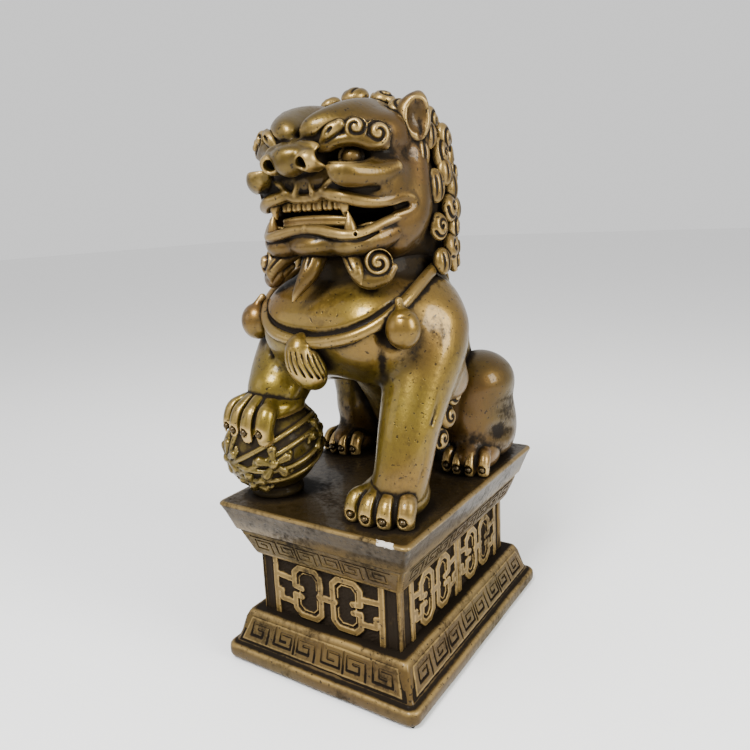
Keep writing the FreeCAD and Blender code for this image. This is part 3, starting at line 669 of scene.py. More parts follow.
def mirrored_clay(clay):
    twin = Clay((0, 0, 0), (1, 1, 1), 1.0)
    twin.voxel = clay.voxel
    twin.shape = clay.shape
    twin.low = clay.low.copy()
    twin.low[0] = -(clay.low[0] + clay.voxel * (clay.shape[0] - 1))
    twin.field = clay.field[::-1].copy()
    return twin


def sculpt_paw(centre, spread, length, height, splay=0.0, droop=0.0, ball=None):
    """A paw pointing to -Y: an instep over round toes, split by grooves."""
    x, y, z = centre
    turn = rotation(0, 0, splay)

    def at(across, ahead, up):
        point = np.array([across, -ahead, up]) @ turn
        return (x + point[0], y + point[1], z + point[2])

    clay = Clay((x - 20, y - 22, z - 12), (x + 20, y + 20, z + 17), 0.34)
    clay.add(egg(at(0, -1, height * 0.42), (spread * 0.90, length * 0.86, height * 0.64), turn.T))
    clay.add(egg(at(0, -length * 0.5, height * 0.5), (spread * 0.72, length * 0.5, height * 0.72),
                 turn.T), 4)
    thick = spread * 0.265
    for i in range(4):
        across = (i - 1.5) / 1.5
        reach = length * (0.90 - 0.16 * across * across)
        side = across * spread * 0.72
        clay.add(rope([at(side * 0.80, reach * 0.42, height * 0.62 - droop * 0.2) + (thick * 0.85,),
                       at(side * 0.96, reach * 0.76, height * 0.54 - droop * 0.6) + (thick,),
                       at(side, reach * 0.95, height * 0.30 - droop * 1.2) + (thick * 0.96,),
                       at(side, reach * 0.93, height * 0.12 - droop * 1.8) + (thick * 0.86,)], 5),
                 0.9)
    for i in range(3):
        across = (i - 1) / 1.5
        reach = length * (0.90 - 0.16 * across * across)
        side = across * spread * 0.74
        clay.cut(rope([at(side * 0.72, reach * 0.30, height * 1.0) + (0.2,),
                       at(side * 0.9, reach * 0.66, height * 0.86 - droop * 0.5) + (0.8,),
                       at(side, reach * 1.0, height * 0.50 - droop) + (0.9,),
                       at(side, reach * 1.08, height * 0.1 - droop * 1.8) + (0.7,)], 5), 0.9)
    for i in range(4):
        clay.cut(egg(claw_place(centre, spread, length, height, splay, droop, i),
                     (1.55, 1.9, 1.55)), 0.5)
    if ball is not None:
        clay.cut(egg(ball[0], (ball[1],) * 3), 0)
    else:
        clay.cut(BELOW_SLAB)
    return clay


def claw_place(centre, spread, length, height, splay, droop, index):
    """Where a toe's claw sits."""
    across = (index - 1.5) / 1.5
    reach = length * (0.90 - 0.16 * across * across)
    point = np.array([across * spread * 0.72, -reach * 0.95 - spread * 0.235,
                      height * 0.24 - droop * 1.45]) @ rotation(0, 0, splay)
    return (centre[0] + point[0], centre[1] + point[1], centre[2] + point[2])


def sculpt_claw(place, size):
    return one_clay([egg(place, (size, size * 1.15, size))], 0.22)


# Each paw: its centre, spread, length, height, outward turn in degrees, and droop over the ball
PAW_PLACES = {
    "left_front": ((21.5, -31.0, 0.0), 12.6, 14.0, 12.5, 6.0, 0.0),
    "right_front": ((-24.5, -37.0, 28.6), 12.4, 12.2, 10.0, -10.0, 2.9),
    "left_hind": ((27.5, 19.0, 0.0), 9.6, 12.5, 12.0, 4.0, 0.0),
    "right_hind": ((-27.5, 19.0, 0.0), 9.6, 12.5, 12.0, -4.0, 0.0),
}
BALL_CENTRE = (-26.0, -33.0, 18.0)
BALL_RADIUS = 18.0


# ---------------------------------------------------------------------------
# The lion's head
# ---------------------------------------------------------------------------

def sculpt_head():
    clay = Clay((-33, -53, 64), (33, 33, 138), 0.36)
    clay.add(egg((0, -3, 108), (24.5, 24, 23.5)))
    clay.add(egg((0, -1, 95), (26.6, 23.5, 30)), 8)
    clay.add_pair(egg((17, -17, 98.5), (10.5, 17, 16)), blend=6)
    clay.add_pair(egg((13, -25, 106), (13, 13.5, 11)), blend=4)
    # Forehead: two smooth lobes whose low tips hook over the nose
    clay.add_pair(rope([(9, -4, 122.5, 7), (9.6, -16, 122.6, 8.2), (9.8, -25, 121.4, 8.4),
                        (8.4, -32.4, 120.4, 7.2), (5.9, -37.4, 120.4, 4.9),
                        (3.9, -39.6, 120.2, 3.0), (3.1, -40.2, 119.2, 2.0)]), blend=1.4)
    clay.add_pair(egg((17.5, -21, 119.0), (8.2, 11.5, 7.2)), blend=4)
    clay.cut_pair(rope([(0.4, -43.0, 116.9, 0.5), (4.0, -43.4, 117.2, 0.9),
                        (7.6, -41.8, 117.9, 1.0), (10.6, -39.9, 120.2, 0.9), (15, -37, 122.4, 0.6),
                        (20, -33, 122.2, 0.5)]), blend=1.0)
    # Muzzle, set back behind the lip
    clay.add(egg((0, -29, 106.5), (17, 10.5, 7.5)), 4)
    clay.add(rope([(-16, -33, 105.0, 4.0), (-8, -33.8, 105.6, 4.2), (0, -33.6, 105.4, 4.2),
                   (8, -33.8, 105.6, 4.2), (16, -33, 105.0, 4.0)]), 3)
    # Nose
    clay.add(egg((0, -41.4, 113.3), (7.8, 8.2, 3.9)), 2)
    clay.add(egg((0, -44.9, 110.9), (4.6, 4.6, 3.7)), 2.2)
    clay.add(rope([(0, -40.0, 115.4, 2.6), (0, -44.0, 113.6, 2.4)], 3), 2.0)
    clay.add_pair(egg((7.0, -44.2, 111.5), (3.7, 4.6, 3.4)), blend=1.4)
    clay.add_pair(rope([(3.6, -43.4, 115.7, 1.7), (7.8, -43.2, 114.4, 2.1),
                        (9.9, -42.8, 111.6, 2.0), (9.3, -43.2, 109.8, 1.5)]), blend=1.0)
    clay.cut_pair(rope([(6.2, -51.0, 109.4, 2.0), (6.0, -45.6, 111.4, 1.7)]), blend=0.6)
    # Whisker pads
    clay.add_pair(rope([(13.8, -41.6, 109.4, 3.0), (15.9, -40.7, 107.8, 4.2),
                        (18.6, -37.2, 107.0, 4.1), (22.0, -31.8, 107.2, 3.3),
                        (24.8, -26.4, 108.8, 2.1)]), blend=0.8)
    clay.cut_pair(rope([(10.6, -44, 107.8, 1.0), (11.0, -42.6, 104.6, 1.6),
                        (14.6, -40.6, 102.8, 1.3), (19, -37.2, 102.4, 0.9),
                        (22.4, -33.0, 102.9, 0.4)]), blend=1.4)
    # Eye sockets with the rim of the lower lid
    clay.cut_pair(egg((14.6, -38.4, 112.8), (8.4, 8.4, 3.6), rotation(0, 0, 34)), blend=1.2)
    clay.cut_pair(rope([(19, -36.2, 113.4, 1.4), (22.4, -32.0, 113.0, 1.5),
                        (25.6, -26.4, 113.6, 1.4), (27.4, -20.5, 115.4, 0.9)]), blend=1.6)
    clay.cut_pair(rope([(22.0, -15.0, 129.0, 0.8), (25.0, -18.0, 124.0, 1.3),
                        (27.0, -18.4, 118.0, 1.2), (27.6, -18.2, 114.5, 0.6)]), blend=1.6)
    clay.add_pair(rope([(8.6, -36.8, 110.6, 0.9), (13, -36.4, 109.9, 1.1),
                        (17.5, -33.6, 109.8, 1.1), (21.0, -29.3, 111.2, 0.9),
                        (23.8, -24.8, 112.0, 0.5)]), blend=1.0)
    # Jaw muscle: a smooth band down from the ear
    clay.add_pair(rope([(23.6, -13, 113, 3.4), (24.0, -14.5, 104, 4.3), (23.4, -17.0, 95, 5.1),
                        (20.2, -22, 88.5, 4.8)]), blend=5)
    # Mouth
    clay.cut(egg((0, -30, 96.6), (24.5, 14.5, 4.8)), 1.0)
    clay.cut_pair(rope([(10, -38, 97.4, 3.2), (17, -35.5, 96.4, 3.2), (22, -28.5, 96.6, 2.5),
                        (26.0, -23.6, 97.6, 1.4)]), blend=0.6)
    # Upper lip: a strap with a cupid's bow, running back round the corner of the mouth
    lip = [(0, -38.0, 101.2, 1.6), (3.6, -38.3, 101.5, 1.8), (7.0, -38.6, 102.4, 1.9),
           (10.8, -39.2, 101.5, 1.9), (14.8, -38.9, 100.8, 1.9), (18.9, -35.7, 99.4, 1.9),
           (22.6, -30.4, 99.2, 1.85), (25.0, -25.0, 100.5, 1.75), (26.6, -21.2, 100.0, 1.7),
           (26.9, -20.2, 97.6, 1.7), (25.8, -22.4, 95.7, 1.7), (24.0, -26.0, 94.6, 1.6)]
    clay.add_pair(rope(lip), blend=0.5)
    clay.add_pair(rope([(4.0, -37.6, 108.0, 0.9), (2.6, -38.6, 105.4, 1.1),
                        (3.4, -39.2, 102.6, 1.2)], 4), blend=0.7)
    clay.add_pair(rope([(11.2, -39.0, 106.6, 0.8), (8.6, -39.0, 104.9, 1.0),
                        (7.2, -39.2, 103.2, 1.2)], 4), blend=0.7)
    # Under the head
    clay.cut(egg((0, -34, 79.5), (26, 17, 9)), 3)
    return clay


def sculpt_jaw():
    clay = Clay((-30, -47, 78), (30, -8, 100), 0.34)
    clay.add(egg((0, -24.5, 88.3), (19.5, 15.5, 5.6)))
    clay.add_pair(rope([(14, -34.5, 87.4, 4.2), (18.5, -31.5, 88.0, 4.2), (21.5, -26, 90, 3.8),
                        (23.5, -19, 92.5, 3.4)]), blend=3)
    clay.add(egg((0, -36.6, 86.9), (7.6, 5.6, 3.6)), 2.4)
    clay.add_pair(egg((12.5, -36.0, 86.6), (5.6, 4.2, 3.0)), blend=2.4)
    clay.cut(egg((0, -26.5, 95.5), (17.5, 10.5, 4.5)), 1.0)
    clay.add_pair(rope([(0, -39.4, 91.9, 1.6), (5.4, -39.6, 91.5, 1.65), (10.6, -39.7, 90.5, 1.65),
                        (14.4, -39.2, 89.8, 1.65), (17.6, -36.6, 89.9, 1.65),
                        (19.8, -33.6, 91.1, 1.65), (22.6, -29.0, 93.2, 1.6),
                        (25.0, -24.2, 94.8, 1.6)]), blend=0.5)
    clay.cut_pair(rope([(4.5, -42.6, 89.2, 0.35), (8.8, -41.9, 89.0, 0.65),
                        (14.6, -41.2, 88.0, 0.75), (18.2, -37.8, 88.2, 0.6),
                        (21.5, -32.5, 90.2, 0.4)]), blend=0.7)
    clay.cut(rope([(17.3, -38.4, 90.0, 0.65), (16.4, -36.8, 90.3, 0.5)], 3), 0.3)
    return clay


def sculpt_brow():
    """The left brow: a bright lower ridge that ends in a swirl, with two more curls on it."""
    clay = Clay((-1, -46, 107), (31, -14, 128), 0.30)
    clay.add(rope([(0, -39.8, 117.4, 1.0), (2.8, -40.2, 115.7, 1.4), (6.6, -39.9, 115.3, 1.5),
                   (9.6, -39.0, 115.4, 1.7), (13.0, -37.8, 116.7, 2.0), (17.0, -35.6, 116.9, 2.1),
                   (20.6, -32.6, 115.6, 2.2), (23.0, -29.6, 115.4, 1.9)]))
    clay.add(rope([(8.6, -40.2, 116.6, 1.0), (11.2, -39.6, 119.2, 2.1),
                   (13.6, -38.2, 120.9, 1.7)]), 0.5)
    clay.add(snail((17.2, -35.4, 119.7), (0.5, -0.85, 0.25), 3.7, 2.8, 1.5, 1, 0.6, 1.0), 0.4)
    clay.add(snail((22.0, -31.4, 118.0), (0.70, -0.70, 0.14), 4.2, 3.2, 1.35, -1, 2.6, 1.1), 0.4)
    clay.cut(rope([(10.0, -42.6, 117.4, 0.2), (11.8, -41.4, 119.4, 0.6),
                   (13.2, -40.0, 120.6, 0.2)], 4), 0.3)
    return clay


def sculpt_eye():
    clay = Clay((7, -42, 105), (21, -27, 120), 0.26)
    clay.add(egg((14.0, -32.9, 112.3), (3.2, 3.4, 3.1)))
    turn = axes_along((0.55, -0.83, 0.02))
    ring = [tuple(np.array([14.2, -33.7, 112.3]) + turn[0] * 3.5 * math.cos(a)
                  + turn[1] * 3.1 * math.sin(a)) + (0.55,) for a in np.linspace(0, 2 * math.pi, 13)]
    clay.add(rope(ring, 3), 0.2)
    return clay


def sculpt_teeth_upper():
    forms = []
    for x in (-10.0, -6.0, -2.0, 2.0, 6.0, 10.0):
        forms.append([rope([(x - 0.8, -35.4, 100.6, 1.0), (x - 0.8, -35.6, 98.2, 1.0)], 3),
                      rope([(x + 0.8, -35.4, 100.6, 1.0), (x + 0.8, -35.6, 98.2, 1.0)], 3)])
    for side in (-1, 1):
        forms.append([rope([(side * 13.2, -37.4, 100.2, 1.8), (side * 13.4, -37.6, 97.9, 1.35),
                            (side * 13.2, -37.2, 95.6, 0.45)], 4)])
    return [one_clay(f, 0.28) for f in forms]


def sculpt_teeth_lower():
    forms = [[rope([(-11.8, -34.6, 94.6, 0.9), (-6, -35.8, 94.9, 1.05), (0, -36.0, 95.0, 1.1),
                    (6, -35.8, 94.9, 1.05), (11.8, -34.6, 94.6, 0.9)], 4),
              rope([(-11.8, -34.8, 93.2, 0.8), (-6, -36.0, 93.5, 0.95), (0, -36.2, 93.6, 1.0),
                    (6, -36.0, 93.5, 0.95), (11.8, -34.8, 93.2, 0.8)], 4)]]
    for side in (-1, 1):
        forms.append([rope([(side * 15.0, -37.2, 90.6, 2.1), (side * 14.9, -37.5, 93.2, 1.5),
                            (side * 14.4, -37.4, 96.6, 0.3)], 4)])
    return [one_clay(f, 0.28) for f in forms]


def one_clay(forms, voxel, blend=0.5, margin=1.2):
    clay = clay_for(forms, voxel, margin)
    for form in forms:
        clay.add(form, blend)
    return clay


def sculpt_ear(side):
    """A cupped ear with a thick rim and a shallow hollow."""
    clay = Clay((13, -30, 110), (37, -1, 136), 0.34)
    normal = unit((0.70, -0.70, 0.06))
    turn = axes_along(normal)
    centre = np.array([25.0, -15.0, 123.4])
    clay.add(egg(centre - normal * 0.8, (5.6, 7.2, 4.0), turn))
    clay.add(rope([tuple(centre + turn[1] * 4.6 + turn[0] * 1.5) + (3.0,),
                   tuple(centre + turn[1] * 6.2 + turn[0] * 2.0 - normal * 0.6) + (2.0,)], 3), 2.0)
    clay.cut(egg(centre + normal * 3.2 + turn[0] * 0.9, (3.7, 5.4, 2.9), turn), 1.2)
    clay.cut(rope([tuple(centre - turn[1] * 1.0 + normal * 1.4 + turn[0] * 1.6) + (0.8,),
                   tuple(centre - turn[1] * 7.6 + normal * 1.8 + turn[0] * 2.4) + (1.1,)], 3), 1.0)
    return clay if side > 0 else mirrored_clay(clay)


DOME = 0.66                    # a mane curl's height, as a share of its smaller half width


def boss(point, normal, wide, tall, up=(0, 0, 1), hand=1, start=0.0, turns=1.7, lift=1.0,
         line=False):
    """One mane curl: an oval boss with a spiral groove, or with two lines down it."""
    normal = unit(normal)
    turn = axes_along(normal, up)
    point = np.asarray(point, float)
    reach = max(wide, tall) + 1.6
    clay = Clay(point - reach, point + reach, 0.34)
    clay.add(egg(point, (wide, tall, min(wide, tall) * DOME), turn))
    if line:
        ridge = [tuple(point + turn[1] * t * tall
                       + normal * (min(wide, tall) * DOME * math.sqrt(max(0, 1 - t * t)) + 0.1))
                       + (r,) for t, r in ((-0.85, 0.2), (-0.4, 0.6), (0.2, 0.75), (0.75, 0.3))]
        for across, narrow in ((0.28, 1.0), (-0.42, 0.8)):
            shift = turn[0] * wide * across
            clay.cut(rope([tuple(row[:3] + shift) + (row[3] * narrow,)
                           for row in np.array(ridge)], 3), 0.5)
    else:
        clay.cut(spiral_rope(point, turn, wide, tall, hand, start, turns, lift), 0.35)
        eye = point + normal * min(wide, tall) * 0.62
        clay.cut(egg(eye, (0.62, 0.62, 0.9), turn), 0.3)
    return clay


def spiral_rope(point, turn, wide, tall, hand, start, turns, lift=1.0):
    """A groove that winds out from the middle of an oval boss."""
    rows = []
    deep = min(wide, tall) * DOME
    for t in np.linspace(0.16, 0.86, 16):
        angle = start + hand * t * turns * 2 * math.pi
        u, v = wide * t * math.cos(angle), tall * t * math.sin(angle)
        rise = deep * math.sqrt(max(0.0, 1 - t * t)) * 1.02
        spot = point + turn[0] * u + turn[1] * v + turn[2] * rise
        rows.append(tuple(spot) + (0.42 * lift + 0.18 * t,))
    return rope(rows, 2)


MANE_ROWS = (
    # height, half width and half depth there, and where the first curl sits in degrees
    (124.6, 22.5, 22.0, 14),
    (118.8, 27.4, 23.5, -13),
    (113.2, 27.6, 24.5, -21),
    (107.8, 28.8, 25.5, 4),
    (103.4, 29.2, 26.0, -10),
    (96.4, 29.6, 26.5, 6),
    (90.8, 29.4, 26.5, -8),
    (83.8, 29.4, 26.0, 9),
    (79.6, 29.2, 25.5, -4),
)
MANE_MIDDLE = -3.5


def mane_point(half_x, half_y, height, angle):
    """A place on the mane's outline, and the way out from it."""
    c, s = math.cos(math.radians(angle)), math.sin(math.radians(angle))
    return (half_x * c, MANE_MIDDLE + half_y * s, height), unit((c / half_x, s / half_y, 0.003))


def sculpt_mane(side):
    out = []
    number = 0
    for row, (height, half_x, half_y, first) in enumerate(MANE_ROWS):
        for angle in np.arange(first - 2, 82, 24.0):
            number += 1
            point, normal = mane_point(half_x, half_y, height, angle)
            tall = 5.4 if row in (2, 4) else 4.5
            clay = boss(point, normal, 3.8, tall, hand=1 if number % 2 else -1, start=number * 1.7,
                        line=(number * 7) % 5 in (1, 3))
            out.append(clay if side > 0 else mirrored_clay(clay))
    return out


def sculpt_nape():
    out = []
    for row, (height, _, half_y, _) in enumerate(MANE_ROWS):
        if row % 2 == 0:
            out.append(boss((0, MANE_MIDDLE + half_y * 0.99, height), (0, 1.0, 0.1), 4.4, 5.2,
                            start=row * 1.3))
    for x in (-15.5, -5.2, 5.2, 15.5):
        out.append(boss((x, 24.0 - x * x * 0.028, 72.5), (x / 30.0, 0.9, 0.35), 4.6, 5.0,
                        hand=1 if x > 0 else -1, start=x))
    return out


def sculpt_crown():
    out = []
    rows = ((-10.5, 133.0, (1.0,), 4.5), (-9.0, 133.6, (-10.0, 11.0), 3.7),
            (-15.0, 134.2, (-20.5, 20.5), 4.0), (-1, 133.2, (-17.0, -5.6, 5.6, 17.0), 4.2),
            (6.5, 131.6, (-12, 0, 12), 4.3), (13.5, 128.0, (-17.0, -5.6, 5.6, 17.0), 4.4),
            (19.5, 122.2, (-10.5, 0, 10.5), 4.6))
    for index, (y, z, xs, size) in enumerate(rows):
        for x in xs:
            drop = x * x * 0.018
            normal = unit((x / 26.0, (y + 4) / 26.0, (z - 108) / 26.0))
            out.append(boss((x, y, z - drop), normal, size, size * 1.08, up=(0, 1, 0.2),
                            hand=1 if x > 0 else -1, start=index + x,
                            line=(index + int(abs(x))) % 4 == 1))
    return out


# ---------------------------------------------------------------------------
# Chin, collar, bells, tufts, tail and ball
# ---------------------------------------------------------------------------

def sculpt_goatee():
    clay = Clay((-10, -49, 65), (8, -28, 88), 0.28)
    clay.add(rope([(0.8, -33.5, 84.8, 2.4), (0.8, -36.6, 82.6, 3.3), (0.2, -39.2, 79.2, 3.1),
                   (-1.4, -41.0, 75.8, 2.3), (-3.4, -42.0, 72.6, 1.3), (-5.0, -42.0, 70.4, 0.5)]))
    for x in (-2.4, -0.6, 1.2, 2.8):
        clay.cut(rope([(x, -38.8, 85.0, 0.4), (x, -41.0, 82.2, 0.5),
                       (x * 0.8 - 0.3, -43.0, 79.2, 0.2)], 4), 0.3)
    return clay


def sculpt_tufts():
    out = []
    for side in (-1, 1):
        forms = [rope([(side * 10.5, -33.0, 84.4, 2.2), (side * 13.8, -35.6, 82.2, 2.6),
                       (side * 16.4, -37.4, 79.0, 2.3), (side * 17.6, -36.8, 75.6, 0.8)], 5),
                 rope([(side * 12.5, -33.0, 80.4, 1.6), (side * 14.6, -34.8, 78.4, 1.9),
                       (side * 17.0, -36.0, 76.0, 0.9)], 5)]
        clay = one_clay(forms, 0.30)
        clay.cut(rope([(side * 11.5, -36.0, 85.0, 0.3), (side * 14.1, -38.6, 82.2, 0.5),
                       (side * 16.6, -39.8, 79.2, 0.3)], 4), 0.3)
        out.append(clay)
    return out


def sculpt_jaw_curl(side):
    """A snail curl behind the chin, its outer turn sweeping out as a leaf."""
    clay = Clay((10, -44, 70), (34, -22, 92), 0.28)
    clay.add(snail((21.2, -32.6, 81.2), (0.56, -0.82, 0.05), 4.4, 3.6, 1.6, -1, 2.6, 1.25))
    clay.add(rope([(14.4, -33.6, 84.4, 0.8), (14.8, -35.2, 81.0, 2.0), (16.2, -35.4, 77.8, 2.7),
                   (19.4, -34.2, 75.8, 2.6), (22.9, -31.6, 76.8, 2.0),
                   (24.6, -29.6, 79.6, 1.3)], 5), 0.5)
    return clay if side > 0 else mirrored_clay(clay)


def collar_path():
    right = [(-25.5, -3, 78.4), (-27.0, -12, 76.0), (-27.6, -20, 73.0), (-26.9, -27.6, 69.0),
             (-23.8, -34.0, 64.6), (-18.6, -38.6, 61.0), (-11.4, -41.4, 58.6), (0, -42.0, 57.2)]
    left = [(-x, y, z) for x, y, z in right[:-1]][::-1]
    return right + left


def sculpt_collar():
    return one_clay([rope([point + (1.95,) for point in collar_path()])], 0.34)


def sculpt_chest_bell():
    """A fluted tassel bell under the middle of the collar."""
    clay = Clay((-12, -51, 39), (8, -30, 61), 0.28)
    middle = [(-3.0, -41.8, 58.0, 2.4), (-3.2, -42.6, 55.2, 4.6), (-2.6, -42.2, 51.4, 5.7),
              (-1.6, -40.6, 47.6, 5.6), (-0.8, -39.2, 45.4, 4.2)]
    clay.add(rope(middle))
    for angle in range(-100, 101, 20):
        a = math.radians(angle)
        u, v = math.sin(a), -math.cos(a)
        flute = zip(middle[1:], (0.2, 0.34, 0.42, 0.42))
        clay.cut(rope([(x + r * u, y + r * v, z, w) for (x, y, z, r), w in flute], 4), 0.4)
    clay.add(rope([(-6.6, -43.6, 56.6, 0.8), (-3.2, -46.2, 56.0, 1.0),
                   (0.6, -44.0, 56.6, 0.8)], 4), 0.4)
    return clay


def sculpt_side_bell(side):
    clay = Clay((20, -43, 50), (38, -23, 73), 0.30)
    clay.add(egg((29.2, -33.0, 61.6), (5.5, 5.3, 6.3)))
    clay.add(rope([(28.4, -33.0, 67.6, 1.3), (27.2, -31.6, 69.8, 1.2)], 3), 1.0)
    clay.cut(rope([(25.0, -37.0, 65.6, 0.2), (28.6, -37.8, 66.2, 0.45),
                   (32.4, -35.8, 65.6, 0.2)], 4), 0.4)
    clay.cut(rope([(30.4, -38.6, 64.0, 0.2), (30.6, -38.8, 61.4, 0.45),
                   (30.2, -38.4, 58.6, 0.2)], 4), 0.5)
    return clay if side > 0 else mirrored_clay(clay)


def sculpt_elbow_curls(side):
    out = []
    left = (((30.6, -4.4, 35.0, 4.2), 1), ((29.8, -7.4, 27.4, 4.1), -1),
            ((28.8, -10.6, 20.4, 3.8), 1), ((31.0, 0.6, 41.4, 3.3), -1))
    right = (((36.4, -7.0, 50.0, 3.9), 1), ((34.6, -12.4, 42.6, 3.8), -1),
             ((31.4, -17.6, 35.6, 3.4), 1))
    for (x, y, z, size), hand in left if side > 0 else right:
        clay = boss((x, y, z), (0.80, -0.10 if side > 0 else 0.5, 0.1), size, size * 1.05,
                    hand=hand, start=z, turns=1.6, lift=1.2)
        inward = -5.5 if side > 0 else -4.0
        clay.add(rope([(x + inward, y - 2.4, z + 0.5, 1.6),
                       (x + inward / 2, y - 0.8, z, 2.2)], 3), 1.5)
        out.append(clay if side > 0 else mirrored_clay(clay))
    return out


def sculpt_tail():
    """A flame-shaped tail standing against the back."""
    clay = Clay((-15, 26, 14), (15, 53, 82), 0.38)
    clay.add(rope([(0, 41, 20, 5.5), (0, 44.0, 30, 6.6), (0, 41.6, 42, 7.6), (0, 36.5, 54, 7.0),
                   (0, 32.0, 65, 4.8), (0, 30.6, 74, 1.4)]))
    clay.add_pair(rope([(4, 43.0, 32, 3.4), (8.6, 40.0, 42, 4.0), (8.4, 35.0, 53, 3.2),
                        (5.6, 31.6, 62, 0.9)]), blend=1.0)
    clay.add_pair(rope([(5, 43, 24, 3.4), (11, 38.6, 32, 3.6), (12.4, 34.0, 42, 2.6),
                        (10.4, 31.0, 49, 0.7)]), blend=1.0)
    for offset in (-3.4, 0.0, 3.4):
        clay.cut(rope([(offset * 0.4, 51.0, 26, 0.4), (offset, 50.2, 40, 0.8),
                       (offset * 0.9, 44.4, 54, 0.8), (offset * 0.4, 37.6, 66, 0.3)], 5), 0.8)
    clay.cut_pair(rope([(8.0, 44.8, 33, 0.3), (9.6, 43.6, 42, 0.6),
                        (8.8, 38.4, 52, 0.3)], 5), blend=0.6)
    return clay


def sculpt_spine():
    out = []
    for side, z, y in ((-1, 66, 21.5), (1, 61, 24.8), (-1, 56, 27.6), (1, 51, 29.8)):
        out.append(boss((side * 8.6, y, z), (side * 0.45, 0.85, 0.35), 3.7, 4.3, hand=side,
                        start=z))
    out.append(boss((0, 21.6, 70.5), (0, 0.85, 0.5), 4.2, 4.6, start=70.5))
    return out


def sculpt_ball():
    """An embroidered ball: ribbons round it, a flower boss and leaves between them."""
    centre = np.array(BALL_CENTRE)
    clay = Clay(centre - 20.5, centre + 20.5, 0.32)
    clay.add(egg(centre, (BALL_RADIUS - 1.5,) * 3))

    def on_ball(direction, lift):
        return tuple(centre + unit(direction) * (BALL_RADIUS - 1.5 + lift))

    def ring(axis, turn_by, lift, radius, count=26):
        frame_axes = axes_along(axis)
        s, c = math.sin(turn_by), math.cos(turn_by)
        rows = []
        for a in np.linspace(0, 2 * math.pi, count):
            direction = c * (frame_axes[0] * math.cos(a)
                             + frame_axes[1] * math.sin(a)) + s * frame_axes[2]
            rows.append(on_ball(direction, lift) + (radius,))
        return rope(rows, 2)

    for axis in ((0.20, -0.35, 0.90), (0.86, -0.42, -0.22), (-0.40, -0.15, 0.80)):
        for offset in (-0.13, 0.13):
            clay.add(ring(axis, offset, 0.5, 0.95), 0.3)
        clay.cut(ring(axis, 0.0, 1.6, 0.6), 0.3)
    flowers = (((-0.45, -0.86, -0.10), 5.6, 6), ((0.62, -0.74, -0.12), 5.4, 5),
               ((-0.98, 0.10, 0.05), 5.4, 6), ((0.2, 0.9, 0.2), 5.4, 6),
               ((0.10, -0.80, -0.62), 4.6, 5), ((0.9, 0.3, 0.2), 4.8, 5))
    for direction, size, petals in flowers:
        frame_axes = axes_along(direction)
        middle = np.array(on_ball(direction, 0.6))
        clay.add(egg(middle, (1.9, 1.9, 1.9)), 0.2)
        for k in range(petals):
            a = 2 * math.pi * k / petals + 0.4
            out = frame_axes[0] * math.cos(a) + frame_axes[1] * math.sin(a)
            side = -frame_axes[0] * math.sin(a) + frame_axes[1] * math.cos(a)
            a1 = unit(middle + out * size * 0.36 - centre)
            a2 = unit(middle + out * size * 0.95 - centre)
            clay.add(rope([on_ball(a1, 0.5) + (1.25,), on_ball(a2, 0.5) + (1.75,)], 3), 0.2)
            clay.cut(rope([on_ball(a1, 2.0) + (0.3,), on_ball(a2, 2.4) + (0.5,)], 3), 0.3)
            tip = unit(middle + out * size * 1.35 + side * 2.2 - centre)
            clay.add(rope([on_ball(unit(middle + out * size * 1.25 + side * 0.3
                                        - centre), 0.4) + (0.9,),
                           on_ball(tip, 0.4) + (0.6,)], 3), 0.2)
    clay.add(egg(centre + (0, 0, -16.6), (9.5, 9.5, 3.6)), 1.5)
    clay.cut(BELOW_SLAB)
    return clay


def add_paws():
    claws = []
    for name, (centre, spread, length, height, splay, droop) in PAW_PLACES.items():
        on = (BALL_CENTRE, BALL_RADIUS - 0.4) if droop else None
        paw = sculpt_paw(centre, spread, length, height, splay, droop, on)
        add_piece(f"paw_{name}", paw, LION, (f"{name}_paw",))
        for i in range(4):
            x, y, z = claw_place(centre, spread, length, height, splay, droop, i)
            claws.append(sculpt_claw((x, y + 0.7, z), 1.25))
    add_piece("claws_all", claws, CLAW, ("claws",))


def add_pieces(rows):
    """Each row: a piece's name, sculptor, material and slot, and the CAD node it stands for."""
    for name, sculpt, material, slot, node in rows:
        add_piece(name, sculpt(), material, (node,))


